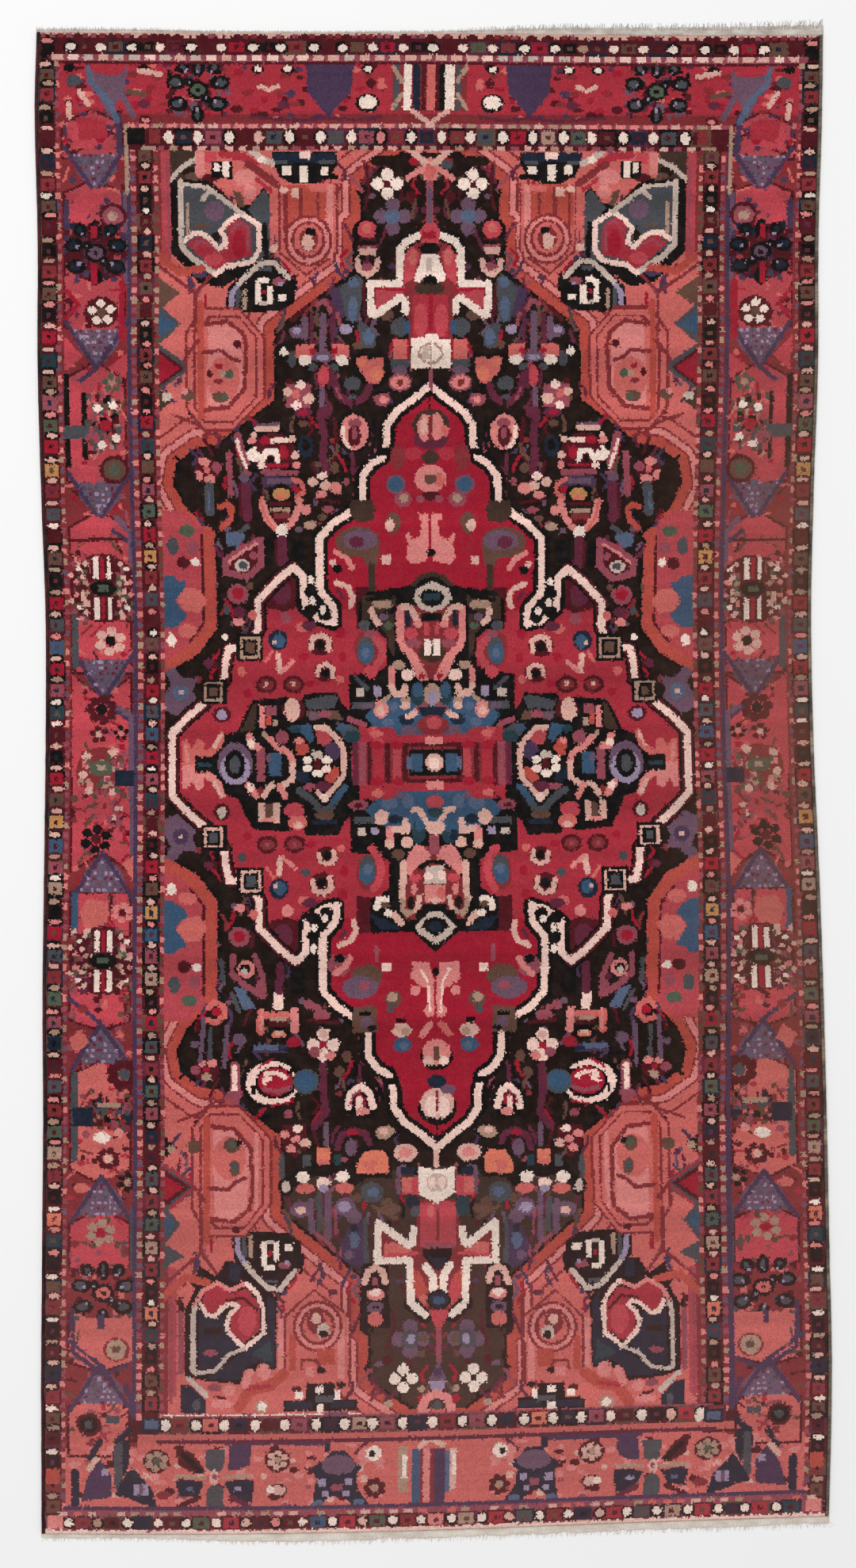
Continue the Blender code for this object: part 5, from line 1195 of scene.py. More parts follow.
def pilePlaces(columnLines, rowLines):
    # from knots (counted from the upper left corner) to metres
    across = columnLines[None, :] / knotColumns
    down = rowLines[:, None] / knotRows
    top, bottom = endValue(1, 1, across), endValue(-1, 1, across)
    y = top + (bottom - top) * down
    inset = rugOutline["selvedgeWidth"] + rugOutline["gap"]
    left, right = sideX(y, -1) + inset, sideX(y, 1) - inset
    return left + (right - left) * across, y


def pileHeights(x, y, columnLines, rowLines):
    # clipped flat and rounded over at the edges, with one slow wave of about a metre and one of about a
    # quarter of that
    pitch = knotting["knotMm"] / 1000
    fromSide = np.minimum(columnLines, knotColumns - columnLines)[None, :] * pitch
    fromEnd = np.minimum(rowLines, knotRows - rowLines)[:, None] * pitch
    rounding = pileForm["rounding"]
    drop = np.zeros_like(x)
    for away in (fromSide, fromEnd):
        near = np.clip(1 - away / rounding, 0, 1)
        drop = np.hypot(drop, rounding * (1 - np.sqrt(1 - near ** 2)))
    drop = np.minimum(drop, rounding)
    swell = (np.sin(x * 7.1 + 2.3 * np.sin(y * 3.1)) * np.sin(y * 5.3 + 1.7 * np.sin(x * 4.7))
             + 0.6 * np.sin(x * 23 + y * 9) * np.sin(y * 31 - x * 5))
    return pileForm["height"] - drop + pileForm["swell"] * (swell - 0.9) * (1 - drop / rounding)


def packedKnots(columnLines, rowLines):
    # four wools to a number, five bits each, one number for each row of knots that a face covers
    group = knotting["group"]
    faceColumn = np.floor((columnLines[:-1] + 1e-6) / group).astype(int) * group
    faceRow = np.floor((rowLines[:-1] + 1e-6) / group).astype(int) * group
    return [sum(knots[faceRow + inner][:, faceColumn + k] * float(shelfPlaces) ** k for k in range(group))
            for inner in range(group)]


def addKnotValues(item, faces, places, perSide, columnLines, rowLines):
    # where each corner is, in knots; the rim takes the knots along its edge
    last = np.array((knotColumns, knotRows))
    corners = places[faces]
    rim = corners[2 * perSide:]
    middle = rim.mean(axis=1, keepdims=True)
    rim[:] = np.where(np.abs(rim - middle) > 0.01, rim, np.clip(middle, 0.5, last - 0.5))
    addUv(item, "knotPlace", corners)
    rimPlace = np.clip(rim.mean(axis=1), 0.01, last - 0.01)
    rimColumn = np.searchsorted(columnLines, rimPlace[:, 0]) - 1
    rimRow = np.searchsorted(rowLines, rimPlace[:, 1]) - 1
    for number, values in enumerate(packedKnots(columnLines, rowLines), 1):
        flat = values.ravel()
        addFaceValue(item, "knotRow" + str(number), np.concatenate((flat, flat, values[rimRow, rimColumn])))


def addExportMap(item, faces, places, perSide):
    # the pile fills most of the baked map, the underside and the rim have a strip each
    margin, length = exportMap["margin"], exportMap["length"]
    share = (places / (knotColumns, knotRows))[faces[:2 * perSide]]
    top, back, rim = np.split(np.empty((len(faces), 4, 2)), (perSide, 2 * perSide))
    top[:] = share[:perSide] * (exportMap["topWidth"], length) + margin
    back[:] = share[perSide:] * (exportMap["backWidth"], length) + (exportMap["backStart"], margin)
    run = np.arange(len(rim)) / len(rim) * length + margin
    ahead = run + length / len(rim)
    low, high = exportMap["rim"]
    for corner, (across, along) in enumerate(((low, run), (low, ahead), (high, ahead), (high, run))):
        rim[:, corner, 0] = across
        rim[:, corner, 1] = along
    addUv(item, "OFBake", np.concatenate((top, back, rim)))


def buildPile(materials):
    columnLines, rowLines = knotLines(knotColumns), knotLines(knotRows)
    x, y = pilePlaces(columnLines, rowLines)
    heights = pileHeights(x, y, columnLines, rowLines)
    vertices, faces = closedSlab(np.stack((x + shiftX, y + shiftY, heights), axis=-1))
    item = addMesh("knottedPile", vertices, faces, materials)
    perSide = (len(rowLines) - 1) * (len(columnLines) - 1)
    kinds = np.zeros(len(faces), np.int32)
    kinds[perSide:2 * perSide] = 1
    item.data.polygons.foreach_set("material_index", kinds)
    knotX, knotY = np.meshgrid(columnLines, rowLines)
    places = np.tile(np.stack((knotX, knotY), axis=-1).reshape(-1, 2), (2, 1))
    addKnotValues(item, faces, places, perSide, columnLines, rowLines)
    addExportMap(item, faces, places, perSide)
    return item


# finishes

pileLook = {
    "tuftScatter": 0.55,     # how far tufts stray from the knot grid
    "backScatter": 0.12,
    "tuftRelief": 0.0007,    # metres
    # painted shade: the next two darken the colour between tufts on the face and between knots on the back
    "tuftVariation": 0.16,   # light and dark between one tuft and the next
    "paintedTuftShade": 0.72,      # the light that is left between tufts
    "paintedBackShade": 0.80,
    "abrash": 0.22,          # lighter and darker bands where a new dye lot starts
    "footWear": 0.07,
    "sunFade": 0.34,         # the faded stretch along the right-hand side
    "sunTone": "#74503F",
    "washedEnd": 0.06,       # how far the lower end has paled to a dusty pink
    "washedTone": "#C88E88",
    "dustiness": 0.03,
    "dustTone": "#B79A8A",
    "weftShare": 0.55,
    "weftTone": "#CDBFA8",
}


def chartedColour(tree, place, tufts):
    # the wool of the knot that a tuft belongs to: its face gives a number for each row of knots, and
    # that number holds the row's four wools
    group = (knotting["group"],) * 3
    corner = place
    for operation in ("DIVIDE", "FLOOR", "MULTIPLY"):
        corner = addNode(tree, "VectorMath", {0: corner, 1: group}, operation=operation)
    centre = addNode(tree, "VectorMath", {0: tufts.outputs["Position"]}, operation="FLOOR")
    inFace = addNode(tree, "VectorMath", {0: centre, 1: corner}, operation="SUBTRACT")
    across, along, _ = addNode(tree, "SeparateXYZ", {0: inFace}).node.outputs
    rowValue = addNode(tree, "Attribute", {}, 2, attribute_name="knotRow1")
    unit = 1.0
    for step in range(1, knotting["group"]):
        here = addNode(tree, "Attribute", {}, 2, attribute_name="knotRow" + str(step + 1))
        below = addNode(tree, "Math", {0: along, 1: step - 0.5}, operation="GREATER_THAN")
        change = addNode(tree, "Math", {0: here, 1: rowValue}, operation="SUBTRACT")
        rowValue = addNode(tree, "Math", {0: below, 1: change, 2: rowValue}, operation="MULTIPLY_ADD")
        beyond = addNode(tree, "Math", {0: across, 1: step - 0.5}, operation="GREATER_THAN")
        factor = addNode(tree, "Math", {0: beyond, 1: shelfPlaces - 1, 2: 1.0}, operation="MULTIPLY_ADD")
        unit = addNode(tree, "Math", {0: unit, 1: factor}, operation="MULTIPLY")
    number = rowValue
    for operation, value in (("DIVIDE", unit), ("FLOOR", 0.0), ("MODULO", shelfPlaces), ("ADD", 0.5),
                             ("DIVIDE", shelfPlaces)):
        number = addNode(tree, "Math", {0: number, 1: value}, operation=operation)
    shelf = addNode(tree, "ValToRGB", {0: number}).node
    shelf.color_ramp.interpolation = "CONSTANT"
    stops = shelf.color_ramp.elements
    stops[1].position = 1.0
    for k, hexText in enumerate(wools.values()):
        stop = stops[0] if k == 0 else stops.new(k / shelfPlaces)
        stop.color = linearColour(hexText)
    stops[len(stops) - 1].color = linearColour(wools["black"])
    return shelf.outputs[0]


def dyeWearAndPaintedShade(tree, place, tufts, along, hollow):
    # dye lots change along the rug, so lighter and darker bands about 8 cm wide run right across it
    bandPlace = addNode(tree, "CombineXYZ", {0: 0.0, 1: along, 2: 0.0})
    bands = addNode(tree, "TexNoise", {"Vector": bandPlace, "Scale": 0.035, "Detail": 4.0, "Roughness": 0.62})
    # the wear of feet: soft patches about 18 cm wide
    wear = addNode(tree, "TexNoise", {"Vector": place, "Scale": 0.016, "Detail": 3.0, "Roughness": 0.5})
    tuft = addNode(tree, "SeparateColor", {0: tufts.outputs["Color"]})
    shade = 1.0
    for source, low, high, spread in ((bands, 0.3, 0.7, pileLook["abrash"]),
                                      (wear, 0.3, 0.7, pileLook["footWear"]),
                                      (tuft, 0.0, 1.0, pileLook["tuftVariation"])):
        tone = addNode(tree, "MapRange", {0: source, 1: low, 2: high, 3: 1 - spread, 4: 1 + spread})
        shade = addNode(tree, "Math", {0: shade, 1: tone}, operation="MULTIPLY")
    # painted shade: between tufts the light is lost, so the colour is darkened there
    tone = addNode(tree, "MapRange", {0: tufts.outputs["Distance"], 1: 0.35, 2: 0.75, 3: 1.0, 4: hollow})
    return addNode(tree, "Math", {0: shade, 1: tone}, operation="MULTIPLY")


def clippedWoolPile(name, back):
    # sheep's wool, hand-dyed, knotted and clipped: cut fibre ends give a soft matt face with a faint
    # sheen; on the back the same knots show as flat beads between cotton wefts
    material, tree = newMaterial(name)
    place = addNode(tree, "UVMap", uv_map="knotPlace")   # counts knots of 2.8 mm
    scatter = pileLook["backScatter" if back else "tuftScatter"]
    hollow = pileLook["paintedBackShade" if back else "paintedTuftShade"]
    tufts = addNode(tree, "TexVoronoi", {"Vector": place, "Scale": 1.0, "Randomness": scatter},
                    voronoi_dimensions="2D").node
    across, along, _ = addNode(tree, "SeparateXYZ", {0: place}).node.outputs
    # the shade holds dye lots, foot wear and tuft tone, and painted shade between tufts
    shade = dyeWearAndPaintedShade(tree, place, tufts, along, hollow)
    colour = chartedColour(tree, place, tufts)
    colour = addNode(tree, "VectorMath", {0: colour, "Scale": shade}, operation="SCALE")

    # sun has faded the right-hand side in the middle to a browner, flatter tone
    rightward = addNode(tree, "MapRange", {0: across, 1: knotColumns * 0.78, 2: knotColumns * 0.97})
    middleward = addNode(tree, "Math", {0: along, 1: knotRows * 0.48}, operation="SUBTRACT")
    middleward = addNode(tree, "Math", {0: middleward}, operation="ABSOLUTE")
    middleward = addNode(tree, "MapRange", {0: middleward, 1: knotRows * 0.16, 2: knotRows * 0.34,
                                            3: 1.0, 4: 0.0})
    faded = addNode(tree, "Math", {0: rightward, 1: middleward}, operation="MULTIPLY")
    faded = addNode(tree, "Math", {0: faded, 1: pileLook["sunFade"]}, operation="MULTIPLY")
    # the lower end is washed paler and pinker than the rest
    washed = addNode(tree, "MapRange", {0: along, 1: knotRows * 0.72, 2: knotRows * 0.86, 3: 0.0,
                                        4: pileLook["washedEnd"]})
    tints = [(faded, pileLook["sunTone"]), (washed, pileLook["washedTone"])]
    if back:
        # cotton wefts between the rows of knots
        weft = addNode(tree, "Math", {0: along, 1: 1.0}, operation="FRACT")
        weft = addNode(tree, "MapRange", {0: weft, 1: 0.70, 2: 0.82})
        weft = addNode(tree, "Math", {0: weft, 1: pileLook["weftShare"]}, operation="MULTIPLY")
        tints.append((weft, pileLook["weftTone"]))
    else:
        # dust in specks from 25 mm down
        dust = addNode(tree, "TexNoise", {"Vector": place, "Scale": 0.11, "Detail": 6.0, "Roughness": 0.7})
        dust = addNode(tree, "MapRange", {0: dust, 1: 0.45, 2: 0.75, 3: 0.0, 4: pileLook["dustiness"]})
        tints.append((dust, pileLook["dustTone"]))
    for amount, hexText in tints:
        colour = addNode(tree, "Mix", {0: amount, 6: colour, 7: linearColour(hexText)}, 2, data_type="RGBA")

    # fibres are drawn 1.3 mm wide, far coarser than wool, so that the tufts show at all
    fibre = addNode(tree, "TexNoise", {"Vector": place, "Scale": 2.2, "Detail": 3.0, "Roughness": 0.6})
    depth = tufts.outputs["Distance"]
    height = addNode(tree, "Math", {0: depth, 1: -0.8, 2: fibre}, operation="MULTIPLY_ADD")
    relief = addNode(tree, "Bump", {"Height": height, "Strength": 0.5, "Distance": pileLook["tuftRelief"]})
    # 1.55 is the index of keratin
    shader = addNode(tree, "BsdfPrincipled", {
        "Base Color": colour, "Normal": relief, "Roughness": 0.92, "IOR": 1.55, "Specular IOR Level": 0.12,
        "Sheen Weight": 0.0 if back else 0.03, "Sheen Roughness": 0.45})
    addNode(tree, "OutputMaterial", {0: shader})
    return material


def woolOvercast(name, hexes):
    # two-ply wool yarn wrapped round the outer warps: small slanting ridges in changing undyed shades
    material, tree = newMaterial(name)
    place = addNode(tree, "UVMap", uv_map="wrapPlace")   # the second number counts wraps of 2.8 mm
    _, along, _ = addNode(tree, "SeparateXYZ", {0: place}).node.outputs
    # the wrapper changes yarn every 5 to 20 cm
    yarnPlace = addNode(tree, "CombineXYZ", {0: 0.0, 1: along, 2: 0.0})
    yarn = addNode(tree, "TexNoise", {"Vector": yarnPlace, "Scale": 0.028, "Detail": 1.0})
    shelf = addNode(tree, "ValToRGB", {0: yarn}).node
    stops = shelf.color_ramp.elements
    for k, hexText in enumerate(hexes):
        position = 0.36 + 0.28 * k / (len(hexes) - 1)
        stop = stops[k] if k < 2 else stops.new(position)
        stop.position = position
        stop.color = linearColour(hexText)
    wrap = addNode(tree, "Math", {0: along}, operation="FLOOR")
    wrapTone = addNode(tree, "TexWhiteNoise", {"W": wrap}, noise_dimensions="1D")
    wrapTone = addNode(tree, "MapRange", {0: wrapTone, 3: 0.72, 4: 1.28})
    fibrePlace = addNode(tree, "VectorMath", {0: place, 1: (3.0, 9.0, 1.0)}, operation="MULTIPLY")
    fibre = addNode(tree, "TexNoise", {"Vector": fibrePlace, "Scale": 1.0, "Detail": 4.0, "Roughness": 0.65})
    fibreTone = addNode(tree, "MapRange", {0: fibre, 1: 0.3, 2: 0.7, 3: 0.78, 4: 1.2})
    tone = addNode(tree, "Math", {0: wrapTone, 1: fibreTone}, operation="MULTIPLY")
    colour = addNode(tree, "VectorMath", {0: shelf.outputs[0], "Scale": tone}, operation="SCALE")
    relief = addNode(tree, "Bump", {"Height": fibre, "Strength": 0.5, "Distance": 0.0004})
    shader = addNode(tree, "BsdfPrincipled", {
        "Base Color": colour, "Normal": relief, "Roughness": 0.88, "IOR": 1.55, "Specular IOR Level": 0.15,
        "Sheen Weight": 0.08})
    addNode(tree, "OutputMaterial", {0: shader})
    return material


def undyedCotton(name, paleHex, soiledHex, woven):
    # cotton yarn, undyed: a dull ivory that greys with handling, woven plain in the strip and loose in
    # the fringe
    material, tree = newMaterial(name)
    place = addNode(tree, "UVMap", uv_map="threadPlace")   # counts warps across and wefts along
    soil = addNode(tree, "TexNoise", {"Vector": place, "Scale": 0.06 if woven else 0.4, "Detail": 5.0,
                                      "Roughness": 0.65})
    soil = addNode(tree, "MapRange", {0: soil, 1: 0.38, 2: 0.62})
    colour = addNode(tree, "Mix", {0: soil, 6: linearColour(paleHex), 7: linearColour(soiledHex)}, 2,
                     data_type="RGBA")
    height = fibre = addNode(tree, "TexNoise", {"Vector": place, "Scale": 3.0, "Detail": 3.0})
    if woven:
        # warps 2.8 mm apart and wefts 1.4 mm, each over one and under the next
        crossing = 1.0
        for turn in addNode(tree, "SeparateXYZ", {0: place}).node.outputs[:2]:
            turn = addNode(tree, "Math", {0: turn, 1: math.pi}, operation="MULTIPLY")
            turn = addNode(tree, "Math", {0: turn}, operation="SINE")
            crossing = addNode(tree, "Math", {0: crossing, 1: turn}, operation="MULTIPLY")
        crossing = addNode(tree, "Math", {0: crossing}, operation="ABSOLUTE")
        height = addNode(tree, "Math", {0: fibre, 1: 0.35, 2: crossing}, operation="MULTIPLY_ADD")
        # painted shade: the weave's colour is darkened in the gaps between warps and wefts
        weaveGapShade = addNode(tree, "MapRange", {0: crossing, 1: 0.0, 2: 0.6, 3: 0.62, 4: 1.04})
        colour = addNode(tree, "VectorMath", {0: colour, "Scale": weaveGapShade}, operation="SCALE")
    relief = addNode(tree, "Bump", {"Height": height, "Strength": 0.6, "Distance": 0.0005})
    # 1.53 is the index of cellulose
    shader = addNode(tree, "BsdfPrincipled", {
        "Base Color": colour, "Normal": relief, "Roughness": 0.9, "IOR": 1.53, "Specular IOR Level": 0.2})
    addNode(tree, "OutputMaterial", {0: shader})
    return material


def paintedStudioFloor(name, hexText):
    # matt white studio paint, rolled: even and without gloss, with a stipple of about a millimetre
    material, tree = newMaterial(name)
    place = addNode(tree, "TexCoord", {}, 3)
    roller = addNode(tree, "TexNoise", {"Vector": place, "Scale": 900.0, "Detail": 2.0})
    relief = addNode(tree, "Bump", {"Height": roller, "Strength": 0.05, "Distance": 0.0002})
    shader = addNode(tree, "BsdfPrincipled", {
        "Base Color": linearColour(hexText), "Normal": relief, "Roughness": 0.95, "Specular IOR Level": 0.0})
    addNode(tree, "OutputMaterial", {0: shader})
    return material


# overcast sides

selvedgeForm = {
    "height": 0.0065,
    "wrapPitch": 0.0028,    # one turn of the yarn
    "ridge": 0.0005,        # how far a turn stands out of the hollow beside it
    "slant": 0.0009,        # the wraps lean along the edge
    "lowest": 0.0004,
    "sectionPoints": 11,
    "sideHeight": 0.10,     # the section starts at this share of the height and then rounds over
    "wander": 0.0003,
    "wanderPoints": 160,
    "leftYarns": ("#241416", "#3E1A1C", "#4E2022", "#2C191B"),
    "rightYarns": ("#4A4036", "#72665A", "#5A4E42", "#8A7B69"),
}


def buildSelvedge(name, side, materials, seed):
    chance = np.random.default_rng(seed)
    low, high = endValue(-1, 1, (side + 1) / 2), endValue(1, 1, (side + 1) / 2)
    rings = 2 * int((high - low) / selvedgeForm["wrapPitch"]) + 1
    along = np.linspace(low, high, rings)
    half = rugOutline["selvedgeWidth"] / 2
    points = selvedgeForm["sectionPoints"]
    turn = np.linspace(math.pi, 0, points)[None, :]
    ridge = np.where(np.arange(rings) % 2 == 1, 1.0, 0.0) * selvedgeForm["ridge"]
    ridge = (ridge * chance.uniform(0.6, 1.15, rings))[:, None]
    bends = selvedgeForm["wanderPoints"]
    wander = np.interp(along, np.linspace(low, high, bends), chance.normal(0, selvedgeForm["wander"], bends))
    reach = half - selvedgeForm["ridge"] + ridge
    x = (sideX(along, side) - side * half + wander * 0.5)[:, None] + reach * np.cos(turn)
    start = selvedgeForm["sideHeight"]
    z = selvedgeForm["height"] * (start + (1 - start) * np.sin(turn) ** 0.8) - selvedgeForm["ridge"] + ridge
    z = np.maximum(z, selvedgeForm["lowest"])
    y = np.clip(along[:, None] + selvedgeForm["slant"] * np.cos(turn), low, high)
    upper = np.stack((x + shiftX, y + shiftY, z), axis=-1)
    foot = upper[:, (-1, 0)] * (1, 1, 0)
    section = np.concatenate((upper, foot), axis=1)
    size = points + 2
    index = np.arange(rings * size).reshape(rings, size)
    after = np.roll(index, -1, axis=1)
    faces = np.stack((index[:-1], after[:-1], after[1:], index[1:]), axis=-1).reshape(-1, 4)[:, ::-1]
    # each end is closed with a fan of quads folded onto its first foot point
    fan = np.array([(size - 1, k, k + 1, k + 2) for k in range(0, size - 3, 2)])
    faces = np.concatenate((faces, index[0][fan], index[-1][fan[:, ::-1]]))
    item = addMesh(name, section.reshape(-1, 3), faces, materials)
    around = np.linspace(0, 4, size)[None, :]
    wraps = np.arange(rings)[:, None] / 2
    places = np.stack(np.broadcast_arrays(around, wraps), axis=-1).reshape(-1, 2)
    addUv(item, "wrapPlace", places[faces])
    return item


# flat-woven ends and fringe

endForm = {
    "height": 0.0028,
    "width": 1.59,
    "columns": 560,
    "rowsDeep": 7,
    "fray": 0.22,             # share of its depth that the worn edge wanders
    "warpPitch": 0.0028,
    "lostWarps": 0.12,
    "weaveShare": 0.62,       # where the strands leave the strip, as a share of its depth
    "strandRadius": 0.00052,
    "strandSteps": 5,
    "strandSides": 5,
    "strandEnd": 0.0006,      # how far a strand's two tips stand out
    "longest": 1.12,
    "shortest": 0.35,
    "clumpSpread": 0.55,      # how far neighbours lean together
    "leanSpread": 0.22,
    "curlSpread": 0.35,
    "leanReach": 0.55,        # how far leaning and curling carry a tip sideways
    "curlReach": 0.35,
    "leanShortens": 0.10,
    "tipTaper": 0.45,
    "rootLift": 0.62,         # a strand leaves the strip at this share of its height
    "arch": 0.0008,
    "cornerStart": 0.94,      # from this share across, the last strands at the right fan out
    "cornerFlare": 0.010,
    # the upper end's cotton is given greyer tones than the lower end's, and its fringe tips greyer still
    "upperPale": "#E0D9D0", "upperDarker": "#B3A99F",
    "upperTipPale": "#C6BEB4", "upperTipDarker": "#8F867C",
    "lowerPale": "#F0E9DE", "lowerSoiled": "#D9CABD",
}


def frayedDepth(end, across, chance):
    # the worn edge of the flat-woven strip: slow bites and single missing warps
    slow = np.interp(across, np.linspace(0, 1, 70), chance.normal(0, 0.5, 70))
    fast = chance.normal(0, 0.35, len(across))
    return endValue(end, 2, across) * np.clip(1 - endForm["fray"] * np.abs(slow + fast), 0.35, 1.0)


def buildFlatwovenEnd(name, end, materials, seed):
    chance = np.random.default_rng(seed)
    across = np.linspace(0, 1, endForm["columns"] + 1)
    depth = frayedDepth(end, across, chance)
    pileEnd = endValue(end, 1, across)
    left, right = sideX(pileEnd, -1), sideX(pileEnd, 1)
    share = np.linspace(0, 1, endForm["rowsDeep"] + 1)[:, None]
    y = pileEnd + end * (rugOutline["gap"] + depth * share)
    x = np.broadcast_to(left + (right - left) * across, y.shape)
    lift = 0.5 + 0.5 * np.sin(across * 61 + 2 * np.sin(across * 23))
    z = endForm["height"] * (1 - share * (0.30 + 0.22 * lift))
    if end > 0:
        x, y, z = x[::-1], y[::-1], z[::-1]
    vertices, faces = closedSlab(np.stack((x + shiftX, y + shiftY, z), axis=-1))
    item = addMesh(name, vertices, faces, materials)
    pitch = endForm["warpPitch"]
    places = np.tile(np.stack((x / pitch, y / pitch * 2), axis=-1).reshape(-1, 2), (2, 1))
    addUv(item, "threadPlace", places[faces])
    return item


def strandPaths(end, share, chance):
    # the frayed warps, each a thin bent strand lying on the floor, some lost, some caught together
    count = int(endForm["width"] / endForm["warpPitch"])
    across = (np.arange(count) + 0.5 + chance.uniform(-0.3, 0.3, count)) / count
    across = across[chance.random(count) > endForm["lostWarps"]][:, None]
    count = len(across)
    pileEnd, depth = endValue(end, 1, across), endValue(end, 2, across)
    left, right = sideX(pileEnd, -1), sideX(pileEnd, 1)
    length = endValue(end, 3, across) * chance.uniform(endForm["shortest"], endForm["longest"], (count, 1))
    length += depth * (1 - endForm["weaveShare"])
    lean = np.interp(across, np.linspace(0, 1, 140), chance.normal(0, endForm["clumpSpread"], 140))
    lean = lean + chance.normal(0, endForm["leanSpread"], (count, 1))
    curl = chance.normal(0, endForm["curlSpread"], (count, 1))
    cornerStart = endForm["cornerStart"]
    corner = endForm["cornerFlare"] * np.clip((across - cornerStart) / (1 - cornerStart), 0, 1)
    bend = lean * share * endForm["leanReach"] + curl * share ** 2 * endForm["curlReach"]
    x = left + (right - left) * across + length * bend
    x = np.minimum(x + corner * share, right + corner + 0.002)
    reach = share - endForm["leanShortens"] * np.abs(lean) * share ** 2
    y = pileEnd + end * (depth * endForm["weaveShare"] + length * reach)
    radius = endForm["strandRadius"] * chance.uniform(0.75, 1.25, (count, 1))
    radius = radius * (1 - endForm["tipTaper"] * share)
    sag = endForm["height"] * endForm["rootLift"] * (1 - share) ** 1.5
    z = sag + radius + endForm["arch"] * np.sin(share * 3.1) * chance.random((count, 1))
    return np.stack((x + shiftX, y + shiftY, z), axis=-1), radius


def buildFringe(name, end, materials, seed):
    steps, sides = endForm["strandSteps"], endForm["strandSides"]
    share = np.linspace(0, 1, steps)[None, :]
    paths, radius = strandPaths(end, share, np.random.default_rng(seed))
    count = len(paths)
    turn = np.linspace(0, 2 * math.pi, sides, endpoint=False)
    section = np.stack((np.cos(turn), 0 * turn, np.sin(turn)), axis=-1)
    tubes = paths[:, :, None] + radius[:, :, None, None] * section
    tubes[..., 2] = np.maximum(tubes[..., 2], 0.00005)
    tips = paths[:, (0, -1)] + np.array([[0, -end, 0], [0, end, 0]]) * endForm["strandEnd"]
    index = np.arange(count * steps * sides).reshape(count, steps, sides)
    after = np.roll(index, -1, axis=2)
    quads = np.stack((index[:, :-1], after[:, :-1], after[:, 1:], index[:, 1:]), axis=-1).reshape(-1, 4)
    tipIndex = np.broadcast_to(index.size + np.arange(2 * count).reshape(count, 2, 1), (count, 2, sides))
    rootFan = np.stack((after[:, 0], index[:, 0], tipIndex[:, 0]), axis=-1).reshape(-1, 3)
    tipFan = np.stack((index[:, -1], after[:, -1], tipIndex[:, 1]), axis=-1).reshape(-1, 3)
    if end > 0:
        quads, rootFan, tipFan = quads[:, ::-1], rootFan[:, ::-1], tipFan[:, ::-1]
    vertices = np.concatenate((tubes.reshape(-1, 3), tips.reshape(-1, 3)))
    triangles = np.concatenate((quads[:, (0, 1, 2)], quads[:, (0, 2, 3)], rootFan, tipFan))
    item = addMesh(name, vertices, triangles, materials)
    # every strand gets its own stretch of the soiling
    tone = np.arange(count)[:, None, None] * 3.7
    places = np.stack(np.broadcast_arrays(tone + turn / 6.3, share[:, :, None] * 6), axis=-1)
    tipPlaces = np.stack(np.broadcast_arrays(tone[:, :, 0], np.array([[0.0, 6.0]])), axis=-1)
    addUv(item, "threadPlace", np.concatenate((places.reshape(-1, 2), tipPlaces.reshape(-1, 2)))[triangles])
    return item


# putting the rug together

pileTop = clippedWoolPile("handKnottedWoolPile", False)
pileBack = clippedWoolPile("knottedWoolBack", True)
darkOvercast = woolOvercast("darkWoolOvercast", selvedgeForm["leftYarns"])
oliveOvercast = woolOvercast("oliveWoolOvercast", selvedgeForm["rightYarns"])
# the upper end gets greyer cotton than the lower end
greyCottonWeave = undyedCotton("greyerCottonWeave", endForm["upperPale"], endForm["upperDarker"], True)
greyCottonWarp = undyedCotton("greyerCottonWarp", endForm["upperTipPale"], endForm["upperTipDarker"], False)
paleCottonWeave = undyedCotton("ivoryCottonWeave", endForm["lowerPale"], endForm["lowerSoiled"], True)
paleCottonWarp = undyedCotton("ivoryCottonWarp", endForm["lowerPale"], endForm["lowerSoiled"], False)
print("finishes made")

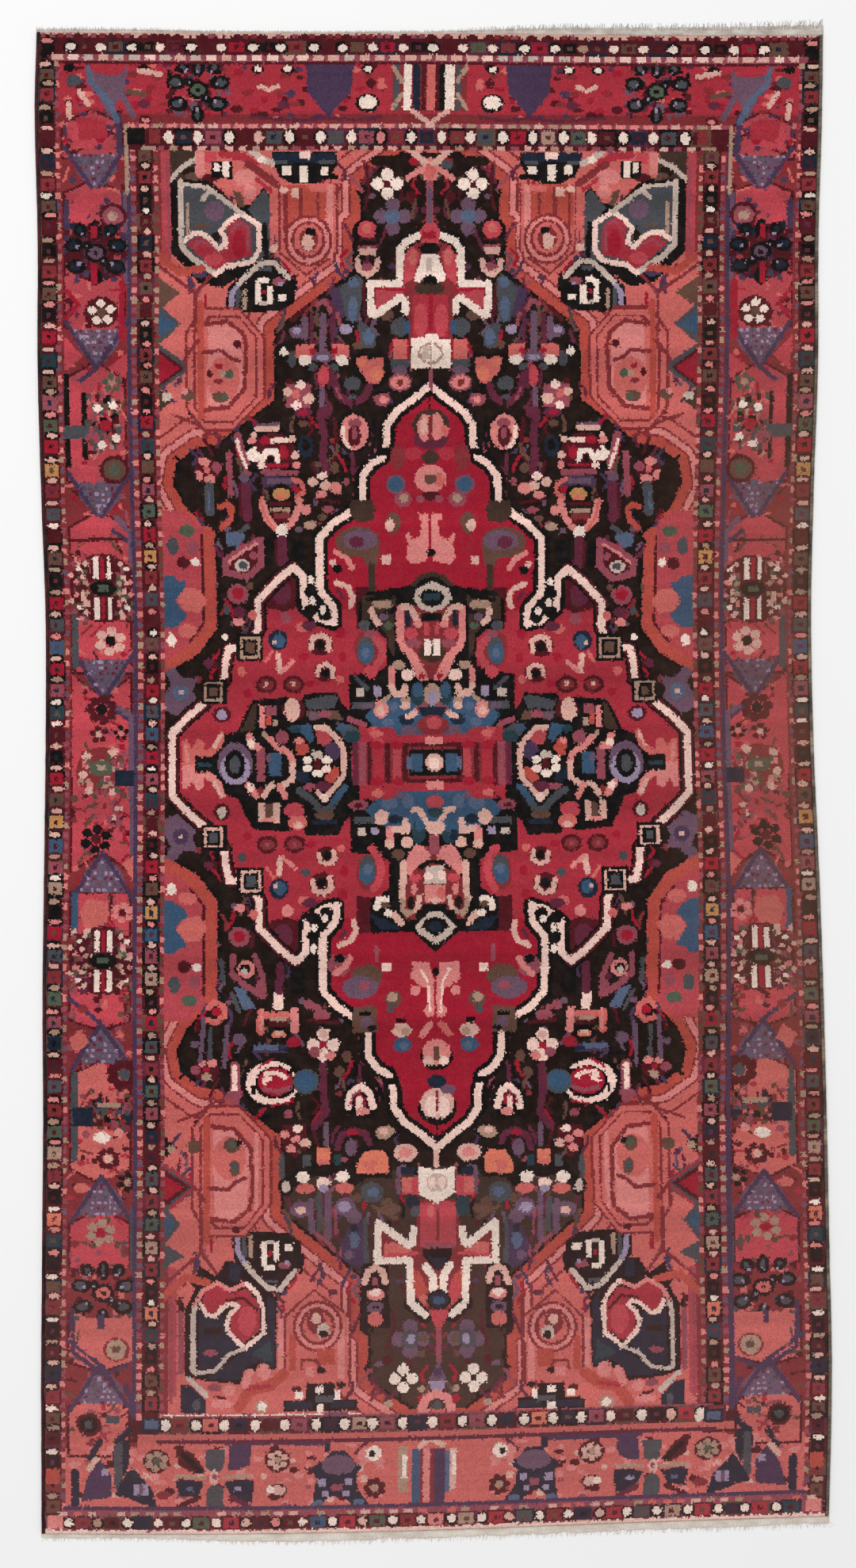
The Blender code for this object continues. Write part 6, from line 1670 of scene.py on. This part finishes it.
pile = buildPile([pileTop, pileBack])
overcasts = [buildSelvedge("overcastLeft", -1, [darkOvercast], 21),
             buildSelvedge("overcastRight", 1, [oliveOvercast], 22)]
flatEnds = [buildFlatwovenEnd("flatwovenEndUpper", 1, [greyCottonWeave], 31),
            buildFlatwovenEnd("flatwovenEndLower", -1, [paleCottonWeave], 32)]
fringes = [buildFringe("fringeUpper", 1, [greyCottonWarp], 41),
           buildFringe("fringeLower", -1, [paleCottonWarp], 42)]
rugPieces = {  # piece: the solid that it stands for and its slot
    pile: ("rug_pile", "wool_pile"),
    overcasts[0]: ("selvedge_left", "wool_overcast"),
    overcasts[1]: ("selvedge_right", "wool_overcast"),
    flatEnds[0]: ("fringed_end_upper", "cotton_warp"),
    fringes[0]: ("fringed_end_upper", "cotton_warp"),
    flatEnds[1]: ("fringed_end_lower", "cotton_warp"),
    fringes[1]: ("fringed_end_lower", "cotton_warp"),
}
for piece, (solid, slot) in rugPieces.items():
    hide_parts(solid)
    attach(piece, "root")
print("pieces:", {piece.name: len(piece.data.polygons) for piece in rugPieces})

# studio

studio = {
    "floorSize": 14.0,
    "floorColour": "#F2F2F2",
    "skyStrength": 0.66,
    "softboxPower": 305.0,
    "softboxSize": 5.0,
    "softboxPlace": (-2.2, 2.4, 7.6),
    "cameraHeight": 12.0,
    "sensorWidth": 36.0,
    "photoHeight": 3.1664,   # metres of floor down the photograph
    "photoMiddle": (-0.0080, -0.0072),
}

half = studio["floorSize"] / 2
floor = addMesh("studioFloor", [(-half, -half, 0), (half, -half, 0), (half, half, 0), (-half, half, 0)],
                [(0, 1, 2, 3)], [paintedStudioFloor("mattStudioPaint", studio["floorColour"])], False)

world = bpy.data.worlds.new("studioSky")
bpy.context.scene.world = world
world.use_nodes = True
sky = world.node_tree.nodes["Background"]
sky.inputs["Color"].default_value = (1.0, 1.0, 1.0, 1.0)
sky.inputs["Strength"].default_value = studio["skyStrength"]

softboxLamp = bpy.data.lights.new("softbox", "AREA")
softboxLamp.energy = studio["softboxPower"]
softboxLamp.size = studio["softboxSize"]
softbox = bpy.data.objects.new("softbox", softboxLamp)
softbox.location = studio["softboxPlace"]
softbox.rotation_euler = (-softbox.location).to_track_quat("-Z", "Y").to_euler()

lens = bpy.data.cameras.new("photoCamera")
lens.sensor_width = studio["sensorWidth"]
lens.lens = studio["sensorWidth"] * (studio["cameraHeight"] - pileForm["height"]) / studio["photoHeight"]
lens.clip_end = 100.0
camera = bpy.data.objects.new("photoCamera", lens)
photoX, photoY = studio["photoMiddle"]
camera.location = (photoX + shiftX, photoY + shiftY, studio["cameraHeight"])
for item in (softbox, camera):
    bpy.context.scene.collection.objects.link(item)
bpy.context.scene.camera = camera
bpy.context.scene.view_settings.view_transform = "Standard"
bpy.context.scene.view_settings.look = "None"
print("studio ready")
